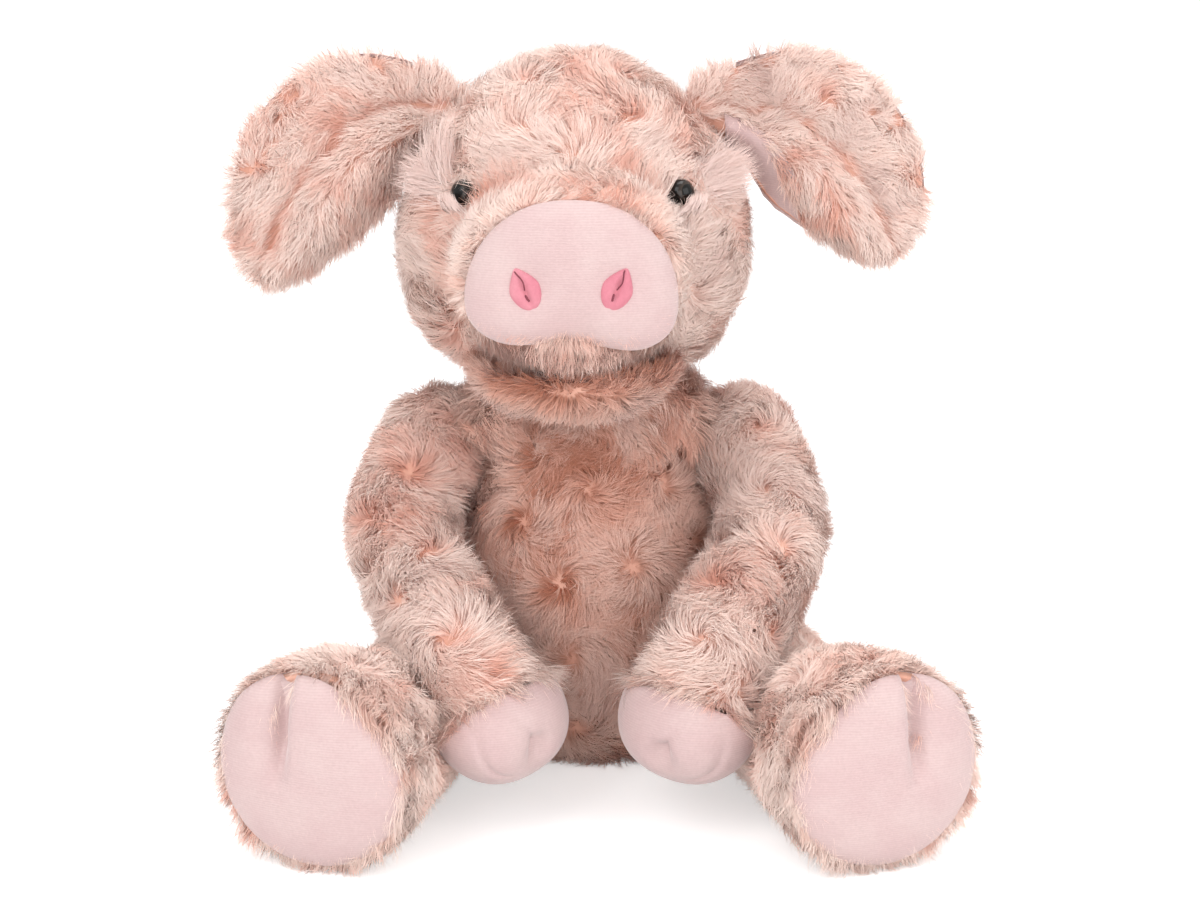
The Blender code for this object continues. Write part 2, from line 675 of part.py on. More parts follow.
def bean(half_width, half_height, facets, notch=0.0, dip=0.0, notch_deg=SNOUT_NOTCH_DEG, dip_lean_deg=0.0,
         low=0.0, squareness=2.0):
    """An oval as (across, up) pairs, with a notch at its bottom and a dip that leans from its top.

    It is widest at a low share of the half height below its middle. With a squareness above 2, its lower half
    is squarer than an ellipse.
    """
    points = []
    for i in range(facets):
        angle = 2 * math.pi * (i + 0.5) / facets
        top = math.radians(90 - dip_lean_deg)
        from_top = math.degrees(math.remainder(angle - top, 2 * math.pi)) / notch_deg
        from_bottom = math.degrees(math.remainder(angle + math.pi / 2, 2 * math.pi)) / notch_deg
        pull = 1 - dip * math.exp(-from_top**2) - notch * math.exp(-from_bottom**2)
        across, up = math.cos(angle), math.sin(angle)
        power = 1 if up > 0 else 2 / squareness
        across = math.copysign(abs(across)**power, across)
        up = math.copysign(abs(up)**power, up) * pull * (1 + math.copysign(low, up)) - low
        points.append((half_width * across, half_height * up))
    return points


def crowned_pad(name, outline, profile_shares, crown, frame):
    """A pad whose flat back lies at its frame's origin and whose crown rises along the third axis."""
    rings = []
    for size, rise in profile_shares:
        rings.append([frame @ Vector((x * size, y * size, rise * crown)) for x, y in outline])
    return loft(name, rings, None, frame @ Vector((0, 0, crown)))


def facing(origin, towards):
    """A frame at an origin whose third axis points a given way and whose first axis is level."""
    forward = Vector(towards).normalized()
    level = Vector((0, 0, 1)).cross(forward).normalized()
    turn = Matrix((level, forward.cross(level), forward)).transposed().to_4x4()
    return Matrix.Translation(origin) @ turn


MUZZLE_CENTRE = HEAD_CENTRE + Vector((0, 0, MUZZLE_RISE))
MUZZLE_FRONT = HEAD_DEPTH / 2 + MUZZLE_LENGTH


def muzzle_form(name, grow=0.0):
    root = HEAD_DEPTH / 2 - MUZZLE_ROOT_DEPTH
    points, radii = [], []
    for share, swell in MUZZLE_SWELL_SHARES:
        points.append(MUZZLE_CENTRE + Vector((0, -root - (MUZZLE_FRONT - root) * share, 0)))
        wide = MUZZLE_ROOT_WIDTH + (MUZZLE_END_WIDTH - MUZZLE_ROOT_WIDTH) * swell
        tall = MUZZLE_ROOT_HEIGHT + (MUZZLE_END_HEIGHT - MUZZLE_ROOT_HEIGHT) * swell
        radii.append((wide / 2, tall / 2))
    return tube(name, points, radii, MUZZLE_FACETS, round_start=0, grow=grow)


def nostril_form(name, side, start, end, grow=0.0):
    """An upright oval column at a nostril, between two distances in front of the muzzle."""
    tilt = math.radians(NOSTRIL_TILT_DEG) * way_of(side)
    middle = MUZZLE_CENTRE + Vector((way_of(side) * NOSTRIL_SPACING / 2, 0, -NOSTRIL_DROP))
    rings = []
    for reach in (start, end):
        ring = []
        for i in range(NOSTRIL_FACETS):
            angle = 2 * math.pi * i / NOSTRIL_FACETS
            across = (NOSTRIL_WIDTH / 2 + grow) * math.cos(angle)
            up = (NOSTRIL_HEIGHT / 2 + grow) * math.sin(angle)
            x = across * math.cos(tilt) + up * math.sin(tilt)
            z = up * math.cos(tilt) - across * math.sin(tilt)
            ring.append(middle + Vector((x, -MUZZLE_FRONT - reach, z)))
        rings.append(ring)
    return loft(name, rings)


def build_muzzle(fur, velour, pink, lining):
    muzzle = cut(muzzle_form("muzzle"), head_form("head", GAP))
    finish(muzzle, fur, NECK_CENTRE)

    outline = bean(SNOUT_WIDTH / 2, SNOUT_HEIGHT / 2, MUZZLE_FACETS, SNOUT_NOTCH_SHARE, SNOUT_DIP_SHARE,
                   low=SNOUT_LOW_SHARE, squareness=SNOUT_SQUARENESS)
    frame = facing(MUZZLE_CENTRE + Vector((0, -MUZZLE_FRONT - GAP, 0)), (0, -1, 0))
    snout = crowned_pad("snout", outline, SNOUT_PROFILE_SHARES, SNOUT_CROWN, frame)
    face = SNOUT_CROWN * (1 - (NOSTRIL_SPACING / SNOUT_WIDTH) ** 2) + GAP
    floor = face - NOSTRIL_SUNK
    for side in SIDES:
        cut(snout, nostril_form("pocket", side, floor, face + OVERRUN, GAP))
        nostril = nostril_form(f"nostril_{side}", side, floor + GAP, face + NOSTRIL_PROUD)
        finish(nostril, pink, NECK_CENTRE)
    finish(snout, velour, NECK_CENTRE)

    mouth = HEAD_CENTRE.z - HEAD_HEIGHT / 2 + MOUTH_HEIGHT
    jaw_centre = HEAD_CENTRE + Vector((0, -JAW_FORWARD, 0))
    jaw_centre.z = mouth - JAW_HEIGHT * JAW_TOP_SHARE
    jaw = ball("jaw", jaw_centre, 0, INNER_FACETS, (JAW_WIDTH / 2, JAW_DEPTH / 2, JAW_HEIGHT / 2))
    size = JAW_WIDTH + JAW_DEPTH
    above = block("above", jaw_centre + Vector((-size, -size, mouth - jaw_centre.z)),
                  jaw_centre + Vector((size, size, size)))
    finish(cut(jaw, above, head_form("head", GAP), neck_socket(0.0)), fur, NECK_CENTRE)

    plate_back = jaw_centre.y - JAW_DEPTH / 2 + LINING_DEPTH / 2 + COVER
    rings = []
    for rise in (0, LINING_THICKNESS):
        middle = Vector((HEAD_CENTRE.x, plate_back, mouth + GAP + rise))
        rings.append(oval(middle, LINING_WIDTH / 2, LINING_DEPTH / 2, MUZZLE_FACETS, 0.5))
    plate = cut(loft("mouth_lining", rings), head_form("head", GAP), muzzle_form("muzzle_room", GAP))
    finish(plate, lining, NECK_CENTRE)


def build_eyes(gloss, white):
    for side in SIDES:
        place, normal = on_head(way_of(side) * EYE_SPACING / 2, EYE_RISE)
        profile = [(SHANK_RADIUS, -SHANK_LENGTH + GAP), (SHANK_RADIUS, EYE_SEAT)]
        for i in range(BALL_RINGS):
            angle = math.pi / 2 * i / BALL_RINGS
            profile.append((EYE_RADIUS * math.cos(angle), EYE_SEAT + EYE_DOME * math.sin(angle)))
        profile.append((0, EYE_SEAT + EYE_DOME))
        eye = turned(f"eye_{side}", profile, place, normal, EYE_FACETS)
        finish(eye, gloss, NECK_CENTRE)

        top = -COVER - WASHER_SEAT
        profile = ((WASHER_RADIUS, top - WASHER_THICKNESS), (WASHER_RADIUS, top))
        washer = turned(f"eye_washer_{side}", profile, place, normal, EYE_FACETS)
        cut(washer, eye_hole("hole", side, SHANK_RADIUS + SHANK_CLEARANCE, SHANK_LENGTH + OVERRUN))
        finish(washer, white, NECK_CENTRE)


def build_tufts(surface):
    for side in SIDES:
        place, normal = on_head(way_of(side) * TUFT_OUT, TUFT_RISE)
        tuft = ball(f"brow_tuft_{side}", (0, 0, 0), 0, EYE_FACETS,
                    (TUFT_LENGTH / 2, TUFT_WIDTH / 2, TUFT_THICKNESS / 2))
        lean = Matrix.Rotation(math.radians(90 - TUFT_LEAN_DEG * way_of(side)), 4, "Z")
        tuft.data.transform(facing(place, normal) @ lean)
        cut(tuft, head_form("head", GAP))
        finish(tuft, surface, NECK_CENTRE)


def head_beside_ear(side):
    """The head without the slit that holds the root of an ear."""
    return cut(head_form("head", GAP), ear_slot("slot", side))


def build_ears(fur, velour):
    for side in SIDES:
        tip = ear_station(side, 1)[0] - Vector((0, EAR_THICKNESS / 4, 0))
        pole = ear_root(side) - ear_station(side, 0)[1] * EAR_ROOT_RADIUS
        ear = loft(f"ear_{side}", ear_rings(side, ear_section), pole, tip)
        finish(cut(ear, head_beside_ear(side)), fur, ear_root(side))
        lining = loft(f"ear_lining_{side}", ear_rings(side, lining_section)[BALL_RINGS:])
        finish(cut(lining, head_beside_ear(side)), velour, ear_root(side))


def build_arms(fur, filling, velour):
    for side in SIDES:
        corners = arm_corners(side)
        shoulder = Vector(corners[0][:3])
        cavity = arm_form("cavity", side, -COVER, COVER, *INNER)
        cut(cavity, leg_form("leg", side, GAP + COVER, OVERRUN))
        cover = cut(arm_form(f"arm_cover_{side}", side), leg_form("leg", side, GAP, OVERRUN), cavity)
        finish(cover, fur, shoulder)
        stuffing = arm_form(f"arm_stuffing_{side}", side, -COVER - GAP, -GAP, *INNER)
        finish(cut(stuffing, leg_form("leg", side, COVER + 2 * GAP, OVERRUN)), filling, shoulder)

        path = smooth_path(corners, ARM_POINTS_PER_SPAN)
        end, before = Vector(path[-1][:3]), Vector(path[-2][:3])
        along = (end - before).normalized()
        outline = bean(HAND_WIDTH / 2, HAND_HEIGHT / 2, ARM_FACETS)
        hand = crowned_pad(f"hand_{side}", outline, HAND_PROFILE_SHARES, HAND_LENGTH,
                           facing(end + along * GAP, along))
        finish(cut(hand, leg_form("leg", side, GAP, OVERRUN)), velour, shoulder)


def sole_outline(side):
    """The rim of a sole as (level, up) pairs."""
    way = way_of(side)
    outline = []
    for x, y in bean(SOLE_RIM_RADIUS, SOLE_RIM_RADIUS, SOLE_FACETS, 0, SOLE_CLEFT_SHARE, SOLE_CLEFT_DEG,
                     SOLE_CLEFT_OUT_DEG * way):
        angle = math.degrees(math.atan2(y, x * way))
        from_flat = math.remainder(angle - SOLE_FLAT_AT_DEG, 360) / SOLE_FLAT_SPREAD_DEG
        from_full = math.remainder(angle - SOLE_FULL_AT_DEG, 360) / SOLE_FULL_SPREAD_DEG
        size = 1 - SOLE_FLAT_SHARE * math.exp(-from_flat**2) + SOLE_FULL_SHARE * math.exp(-from_full**2)
        outline.append((x * size, y * size))
    return outline


def build_legs(fur, filling, velour):
    for side in SIDES:
        hip, along = leg_axis(side)
        cover = cut(leg_form(f"leg_cover_{side}", side), below_floor("floor"),
                    leg_form("cavity", side, -COVER, COVER, *INNER))
        finish(cover, fur, hip)
        finish(leg_form(f"leg_stuffing_{side}", side, -COVER - GAP, -GAP, *INNER), filling, hip)

        centre = hip + along * (LEG_LENGTH + GAP) + Vector((0, 0, FOOT_RADIUS - HIP_RADIUS))
        frame = facing(centre, along)
        sole = crowned_pad(f"sole_{side}", sole_outline(side), SOLE_PROFILE_SHARES, SOLE_CROWN, frame)
        finish(sole, velour, hip)


def build_tail(velour):
    """A stem out of the back and one rising curl."""
    root = tail_root()
    points = [root, root + Vector((0, TAIL_STEM, 0))]
    middle = points[-1] + Vector((0, 0, TAIL_CURL_RADIUS))
    for i in range(1, TAIL_POINTS + 1):
        share = i / TAIL_POINTS
        angle = 2 * math.pi * TAIL_CURL_TURNS * share
        around = Vector((math.sin(angle), 0, -math.cos(angle))) * TAIL_CURL_RADIUS
        points.append(middle + around + Vector((0, TAIL_CURL_PITCH * share, 0)))
    count = len(points) - 1
    radii = [TAIL_RADIUS + (TAIL_TIP_RADIUS - TAIL_RADIUS) * i / count for i in range(count + 1)]
    tail = tube("tail", points, [(r, r) for r in radii], TAIL_FACETS, INNER_BALL_RINGS, INNER_BALL_RINGS)
    finish(tail, velour, root)


def main():
    clear_scene()
    fur = material("fur", FUR_COLOUR, 0.9)
    velour = material("velour", VELOUR_COLOUR, 0.85)
    pink = material("nostril pink", NOSTRIL_COLOUR, 0.8)
    lining = material("mouth lining", LINING_COLOUR, 0.9)
    long_pile = material("long pile", TUFT_COLOUR, 0.8)
    gloss = material("eye gloss", EYE_COLOUR, 0.06)
    white = material("washer plastic", WASHER_COLOUR, 0.4)
    filling = material("filling", FILLING_COLOUR, 0.95)
    bag = material("bead bag", BAG_COLOUR, 0.8)

    build_torso(fur, filling, bag)
    build_neck(filling)
    build_head(fur, filling)
    build_muzzle(fur, velour, pink, lining)
    build_eyes(gloss, white)
    build_tufts(long_pile)
    build_ears(fur, velour)
    build_arms(fur, filling, velour)
    build_legs(fur, filling, velour)
    build_tail(velour)


main()
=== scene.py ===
"""Seated plush pig with curly pile as real strands over stuffed skins, and velour snout, hoof caps, soles and linings.

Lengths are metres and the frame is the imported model's: the seat is at the origin and the pig faces -Y.
"""

import math

import bpy
import numpy as np
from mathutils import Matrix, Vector
from mathutils.kdtree import KDTree


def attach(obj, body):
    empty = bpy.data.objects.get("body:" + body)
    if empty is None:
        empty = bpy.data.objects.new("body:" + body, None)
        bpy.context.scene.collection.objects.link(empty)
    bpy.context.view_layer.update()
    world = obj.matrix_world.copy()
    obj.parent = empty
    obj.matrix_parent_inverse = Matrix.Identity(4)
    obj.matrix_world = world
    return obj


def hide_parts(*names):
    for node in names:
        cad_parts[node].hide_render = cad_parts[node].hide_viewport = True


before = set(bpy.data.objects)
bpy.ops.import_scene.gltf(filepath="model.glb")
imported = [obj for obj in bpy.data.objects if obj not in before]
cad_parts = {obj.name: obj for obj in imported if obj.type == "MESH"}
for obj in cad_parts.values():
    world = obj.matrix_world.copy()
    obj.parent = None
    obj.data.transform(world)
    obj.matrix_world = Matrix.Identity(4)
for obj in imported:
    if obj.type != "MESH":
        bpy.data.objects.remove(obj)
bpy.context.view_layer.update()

SIDES = {"l": ("left", 1), "r": ("right", -1)}
UP = np.array((0.0, 0.0, 1.0))
DOWN = -UP
FORWARD = np.array((0.0, -1.0, 0.0))
AFT = -FORWARD

# Pile: how far the skin lies under the surface of the solids, and the strands that stand on it
PILE = 0.0045
STRAND_POINTS = 4
STRAND_HALF_WIDTH = 0.00011
STRAND_ROLL = 0.7
SKIN_SHADING = 0.86
TAPER_SHARES = (1.0, 0.92, 0.45)
STRANDS_PER_MM2 = 3.45
PILE_LENGTH = 0.0115
GUIDE_SPACING = 0.0015
SWIRL_SPACING = 0.024
SWIRL_TURN_DEG = (20.0, 72.0)
CLUMP_SHARES = np.array((0.0, 0.08, 0.20, 0.32))
RISE_DEG = np.array((50.0, 28.0, 10.0))
FRIZZ = 0.0016
# Locks: how wide they are, and how far each one wanders from the way the pile is combed and lifts from it
LOCK_SIZE = 0.0060
LOCK_DRIFT = 0.90
LOCK_TOSS = 0.60
FLOOR_CLEARANCE = 0.0004
MOST_STRANDS = 38000

# Torso rows: height share, then half width, half depth and forward lean as shares
TORSO = dict(height=0.160, width=0.146, depth=0.140, slump=-0.005)
TORSO_ROWS = np.array((
    (0.00, 0.76, 0.78, 0.010), (0.03, 0.86, 0.87, 0.010), (0.10, 0.94, 0.95, 0.012), (0.22, 0.99, 0.99, 0.015),
    (0.34, 1.00, 1.00, 0.020), (0.48, 0.94, 0.97, 0.025), (0.62, 0.82, 0.87, 0.035), (0.76, 0.65, 0.72, 0.050),
    (0.88, 0.56, 0.59, 0.060), (1.00, 0.45, 0.47, 0.070),
))
SHOULDER_FULLNESS = 0.012
NECK_CENTRE = np.array((-0.005, -0.0098, 0.130))
NECK_RADIUS = 0.045
HEAD_SIZE = np.array((0.144, 0.134, 0.142)) / 2
HEAD_CENTRE = np.array((-0.0095, -0.018, 0.225))
CHEEK_SHARE = 0.14
MUZZLE_CENTRE = HEAD_CENTRE + np.array((0, 0, -0.005))
MUZZLE_FRONT = 0.096
MUZZLE_ROOT = 0.037
MUZZLE_ROOT_SIZE = np.array((0.094, 0.074)) / 2
MUZZLE_END_SIZE = np.array((0.080, 0.055)) / 2
SNOUT_CENTRE = MUZZLE_CENTRE + FORWARD * MUZZLE_FRONT
SNOUT_SIZE = np.array((0.081, 0.060)) / 2
SNOUT_CROWN = 0.012
JAW_SIZE = np.array((0.086, 0.068, 0.038)) / 2
LIP_SIZE = np.array((0.0215, 0.0060, 0.0070))
MOUTH_HEIGHT = 0.176
JAW_CENTRE = np.array((HEAD_CENTRE[0], HEAD_CENTRE[1] - 0.054, MOUTH_HEIGHT - 0.00228))
SHOULDER = np.array((0.06466, -0.01047, 0.128))
LEG_LENGTH = 0.152
HIP = np.array((0.058, -0.020, 0.0335))
HIP_RADIUS, KNEE_RADIUS, FOOT_RADIUS, RIM_RADIUS = 0.034, 0.029, 0.0405, 0.038
LEG_SPLAY_DEG = {"l": 19.0, "r": 18.5}
# Leg rows: share of the length, then how far the radius has gone from hip to knee and from knee to foot
LEG_ROWS = ((0.0, 0.0, 0.0), (0.22, 0.55, 0.0), (0.45, 1.0, 0.0), (0.62, 1.0, 0.35), (0.80, 1.0, 0.85),
            (0.92, 1.0, 1.0))
EAR_WIDTH = 0.064
EAR_ROOT_RADIUS = 0.016
EAR_THICKNESS = 0.0085
EAR_ARCH = 0.010
# Ear shapes: how far the tip reaches out, where the bend is, and how far the tip hangs
EAR_SHAPE = {"l": (0.070, 0.048, 0.059), "r": (0.068, 0.042, 0.069)}
# Ear rows: share of the length, then half width and arch as shares
EAR_ROWS = np.array((
    (0.00, 0.47, 0.00), (0.12, 0.66, 0.25), (0.26, 0.86, 0.60), (0.42, 0.98, 0.90), (0.58, 1.00, 1.00),
    (0.73, 0.90, 0.95), (0.86, 0.70, 0.70), (0.95, 0.42, 0.40), (1.00, 0.10, 0.10),
))
# Where the crease runs as a share of the half width, and how far the bare velour band reaches in from the edge
EAR_CREASE = 0.06
EAR_BAND = ((0.0, 0.3, 0.6, 0.86), (-0.20, -0.45, -0.72, -1.0))
EAR_STEPS = 24
EYE_OUT, EYE_RISE = 0.044, 0.019
EYE_RADIUS, EYE_DOME, EYE_SINK = 0.0055, 0.0046, 0.0022
SHANK_RADIUS, SHANK_LENGTH = 0.0016, 0.008
CLEFT_OUT = 0.0100
FIT_GAP = 0.0003
# Where the sole's egg departs from a circle: heading, spread and change of radius
SOLE_SWELLS = ((135, 32, -0.16), (48, 26, 0.05))
HAND_SIZE = (0.0300, 0.0235)
TAIL_ROOT = np.array((-0.00156, 0.0672, 0.050))
TAIL_TURNS, TAIL_COIL, TAIL_ADVANCE = 1.25, 0.010, 0.016
TAIL_RADII = (0.0048, 0.0026)
TUFT_STRANDS, LASHES = 1700, 150
# Tufts: each lock's heading in degrees out from straight up, its spread, its part of the strands and its length
TUFT_LOCKS = {
    "r": ((3, 4, 0.16, 0.030), (33, 5, 0.14, 0.026), (88, 16, 0.44, 0.028), (55, 40, 0.26, 0.014)),
    "l": ((84, 15, 0.60, 0.032), (60, 14, 0.16, 0.024), (80, 35, 0.24, 0.016)),
}
TIP_STOPS = (0.00, 0.15, 0.31, 0.50, 0.68, 0.84, 1.00)
ROOT_STOPS = (0.00, 0.25, 0.50, 0.75, 1.00)
CAMERA_PLACE = (0.0013, -1.0, 0.38)
CAMERA_TILT_DEG = 14.47
CAMERA_LENS, CAMERA_SENSOR = 71.4, 36.0
FLOOR_HALF, FLOOR_GREY, FLOOR_GLOW = 6.0, 0.90, 0.50
WORLD_LEVEL = 0.72
LAMP_TARGET = Vector((0, 0, 0.13))
# Lamps: name, place, size and power
LAMPS = (
    ("key", (-0.9, -1.3, 1.5), 1.1, 11.5), ("fill", (1.3, -1.0, 0.8), 1.2, 8.0),
    ("top", (0.0, 0.3, 1.8), 1.0, 11.0), ("front", (-0.1, -2.2, 0.6), 1.6, 16.5),
)


def unit(vectors):
    length = np.linalg.norm(vectors, axis=-1, keepdims=True)
    return vectors / np.maximum(length, 1e-9)


def tangential(vectors, normals):
    return vectors - normals * np.sum(vectors * normals, axis=-1, keepdims=True)


def catmull(rows, per_span):
    """A smooth run through rows of numbers."""
    rows = np.asarray(rows, float)
    padded = np.vstack((2 * rows[0] - rows[1], rows, 2 * rows[-1] - rows[-2]))
    t = np.arange(per_span)[:, None] / per_span
    spans = []
    for a, b, c, d in zip(padded, padded[1:], padded[2:], padded[3:]):
        spans.append(0.5 * (2 * b + (c - a) * t + (2 * a - 5 * b + 4 * c - d) * t**2
                            + (3 * b - a - 3 * c + d) * t**3))
    return np.vstack((*spans, rows[-1:]))


def share_of(value):
    return np.clip(value, 0, 1)


def bell(value):
    return np.exp(-value**2)


def turn_between(a, b):
    """The turn from b to a in radians, from minus half a turn to half a turn."""
    return np.angle(np.exp(1j * (a - b)))


def value_noise(points, size, seed):
    """Smooth noise from 0 to 1 with features of a size."""
    table = np.random.default_rng(seed).random((32, 32, 32))
    place = points / size + 100.0
    cell = np.floor(place).astype(int)
    part = place - cell
    part = part * part * (3 - 2 * part)
    total = np.zeros(len(points))
    for corner in np.ndindex(2, 2, 2):
        index = (cell + corner) % 32
        weight = np.prod(np.where(corner, part, 1 - part), axis=1)
        total += table[index[:, 0], index[:, 1], index[:, 2]] * weight
    return total


class Form:
    """A closed surface as points, triangles and normals."""

    def __init__(self, rings, start=None, end=None):
        rings = np.asarray(rings, float)
        rows, count = rings.shape[:2]
        points = [rings.reshape(-1, 3)]
        tris = []
        i = np.arange(count)
        j = (i + 1) % count
        for row in range(rows - 1):
            a, b = row * count, (row + 1) * count
            tris.append(np.stack((a + i, a + j, b + j), 1))
            tris.append(np.stack((a + i, b + j, b + i), 1))
        total = rows * count
        for tip, base, flip in ((start, 0, True), (end, (rows - 1) * count, False)):
            if tip is None:
                tip = rings.reshape(-1, 3)[base:base + count].mean(axis=0)
            points.append(np.asarray(tip, float)[None])
            pole = np.full(count, total)
            tris.append(np.stack((base + j, base + i, pole) if flip else (base + i, base + j, pole), 1))
            total += 1
        self.points = np.vstack(points)
        self.tris = np.vstack(tris)
        a, b, c = (self.points[self.tris[:, k]] for k in range(3))
        if np.sum(a * np.cross(b, c)) < 0:
            self.tris = self.tris[:, ::-1]
        self.measure()

    def measure(self):
        a, b, c = (self.points[self.tris[:, k]] for k in range(3))
        cross = np.cross(b - a, c - a)
        self.areas = np.linalg.norm(cross, axis=1) / 2
        normals = np.zeros_like(self.points)
        for k in range(3):
            np.add.at(normals, self.tris[:, k], cross)
        self.normals = unit(normals)

    def shrunk(self, depth):
        other = Form.__new__(Form)
        other.points = self.points - self.normals * depth
        other.tris = self.tris
        other.measure()
        return other

    def scatter(self, count, rng):
        share = np.cumsum(self.areas) / self.areas.sum()
        pick = np.minimum(np.searchsorted(share, rng.random(count)), len(share) - 1)
        s, t = rng.random((2, count))
        flip = s + t > 1
        s[flip], t[flip] = 1 - s[flip], 1 - t[flip]
        weights = np.stack((1 - s - t, s, t), 1)[:, :, None]
        corners = self.tris[pick]
        return (self.points[corners] * weights).sum(1), unit((self.normals[corners] * weights).sum(1))

    def scatter_evenly(self, spacing, rng):
        """Random places that keep a spacing."""
        points, normals = self.scatter(int(self.areas.sum() / spacing**2 * 8), rng)
        kept = []
        for i, point in enumerate(points):
            if not kept or np.min(np.sum((points[kept] - point)**2, axis=1)) > spacing**2:
                kept.append(i)
        return points[kept], normals[kept]


def ring_of(middle, side, up, wide, tall, facets):
    turns = 2 * np.pi * np.arange(facets) / facets
    return middle + np.outer(np.cos(turns) * wide, side) + np.outer(np.sin(turns) * tall, up)


def torso_form():
    rows = catmull(TORSO_ROWS, 5)
    rings = []
    for share, wide, deep, lean in rows:
        middle = np.array((TORSO["slump"] * share, -TORSO["depth"] * lean, TORSO["height"] * share))
        wide, deep = TORSO["width"] / 2 * wide, TORSO["depth"] / 2 * deep
        rings.append(ring_of(middle, (1, 0, 0), (0, 1, 0), wide, deep, 64))
    return Form(rings)


def head_form():
    rings = []
    for angle in np.pi * np.arange(1, 40) / 40:
        cheek = 1 + CHEEK_SHARE * math.cos(angle)
        middle = HEAD_CENTRE + UP * -HEAD_SIZE[2] * math.cos(angle)
        wide, deep = HEAD_SIZE[:2] * math.sin(angle)
        rings.append(ring_of(middle, (1, 0, 0), (0, 1, 0), wide * cheek, deep, 64))
    return Form(rings, HEAD_CENTRE - UP * HEAD_SIZE[2], HEAD_CENTRE + UP * HEAD_SIZE[2])


def tube_form(stations, facets=48, domes=(10, 0)):
    """A tube through (x, y, z, half width, half height), with ends rounded by so many rings."""
    stations = np.asarray(stations, float)
    places, sizes = stations[:, :3], stations[:, 3:]
    tangents = unit(np.gradient(places, axis=0))
    rows = [(p, t, w, h) for p, t, (w, h) in zip(places, tangents, sizes)]
    tips = []
    for which, direction, count in ((0, -1, domes[0]), (-1, 1, domes[1])):
        point, tangent, wide, tall = rows[which]
        depth = (wide + tall) / 2
        cap = [(point + tangent * direction * depth * math.sin(a), tangent,
                wide * math.cos(a), tall * math.cos(a))
               for a in np.pi / 2 * np.arange(1, count) / max(count, 1)]
        tips.append(point + tangent * direction * depth if count else None)
        rows = cap[::-1] + rows if which == 0 else rows + cap
    rings = []
    for point, tangent, wide, tall in rows:
        side = unit(np.cross(tangent, UP))
        rings.append(ring_of(point, side, np.cross(side, tangent), wide, tall, facets))
    return Form(rings, *tips)


def arm_corners(side):
    way = SIDES[side][1]
    shoulder = SHOULDER * (way, 1, 1) + (-0.004, 0, 0)
    elbow = shoulder + (way * 0.012, -0.042, -0.026)
    wrist = elbow + (-way * 0.022, -0.054, -0.029)
    cuff = wrist + (-way * {"l": 0.014, "r": 0.020}[side], -0.018, -0.026)
    sizes = ((0.025, 0.025), (0.0225, 0.0225), (0.0235, 0.0235), (0.028, 0.024))
    return np.hstack((np.stack((shoulder, elbow, wrist, cuff)), sizes))


def leg_axis(side):
    way, splay = SIDES[side][1], math.radians(LEG_SPLAY_DEG[side])
    return HIP * (way, 1, 1), np.array((way * math.sin(splay), -math.cos(splay), 0))


def leg_stations(side):
    hip, along = leg_axis(side)
    rows = []
    for share, to_knee, to_foot in LEG_ROWS:
        radius = HIP_RADIUS + (KNEE_RADIUS - HIP_RADIUS) * to_knee + (FOOT_RADIUS - KNEE_RADIUS) * to_foot
        rows.append((*(hip + along * LEG_LENGTH * share + UP * (radius - HIP_RADIUS)), radius, radius))
    end = hip + along * LEG_LENGTH + UP * (FOOT_RADIUS - HIP_RADIUS)
    rows.append((*end, RIM_RADIUS, RIM_RADIUS))
    return rows


def ear_root(side):
    return HEAD_CENTRE + (SIDES[side][1] * 0.060, 0.006, 0.046)


def ear_station(side, t):
    way = SIDES[side][1]
    reach, bend_out, hang = EAR_SHAPE[side]
    root = ear_root(side)
    bend = root + (way * bend_out, -0.011, 0.004)
    tip = root + (way * reach, -0.022, -hang)
    point = root * (1 - t)**2 + bend * 2 * t * (1 - t) + tip * t**2
    along = (bend - root) * (1 - t) + (tip - bend) * t
    along[1] = 0
    along = unit(along)
    return point, along, np.cross(along, AFT) * way


def ear_profile(across):
    """How far the fur side stands forward: a strip along the inner edge, a crease and a flatter panel."""
    strip = 0.0075 * bell((across + 0.50) / 0.33)
    crease = -0.0035 * bell((across - EAR_CREASE) / 0.10)
    return strip + crease


def ear_bow(turns, wide, arch):
    """How far the ear's surface stands forward of its middle, at angles round one row of it."""
    return EAR_THICKNESS / 2 * np.sin(turns) * min(1, wide * 2) + EAR_ARCH * arch * np.sin(turns)**2


def ear_form(side):
    rings = []
    turns = 2 * np.pi * np.arange(48) / 48
    root, along, across = ear_station(side, 0)
    for angle in np.pi / 2 * np.arange(1, 6) / 6:
        middle = root - along * EAR_ROOT_RADIUS * math.cos(angle)
        half = EAR_ROOT_RADIUS * math.sin(angle)
        bow = EAR_THICKNESS / 2 * np.sin(turns) * math.sin(angle)
        rings.append(middle + np.outer(np.cos(turns) * half, across) - np.outer(bow, AFT))
    for share, wide, arch in catmull(EAR_ROWS, 5):
        point, _, across = ear_station(side, share)
        half = max(EAR_WIDTH / 2 * wide, EAR_ROOT_RADIUS if share < 0.5 else 0)
        front = np.sqrt(np.maximum(np.sin(turns), 0))
        bow = ear_bow(turns, wide, arch) + ear_profile(np.cos(turns)) * front * min(1, wide * 1.2)
        rings.append(point + np.outer(np.cos(turns) * half, across) - np.outer(bow, AFT))
    return Form(rings, root - along * EAR_ROOT_RADIUS, ear_station(side, 1.0)[0])


def muzzle_form():
    rings = []
    for share, swell in catmull(((0.0, 0.0), (0.45, 0.15), (0.75, 0.40), (0.92, 0.72), (1.0, 1.0)), 5):
        wide, tall = MUZZLE_ROOT_SIZE + (MUZZLE_END_SIZE - MUZZLE_ROOT_SIZE) * swell
        middle = MUZZLE_CENTRE + FORWARD * (MUZZLE_ROOT + (MUZZLE_FRONT - MUZZLE_ROOT) * share)
        rings.append(ring_of(middle, (1, 0, 0), UP, wide, tall, 64))
    return Form(rings)


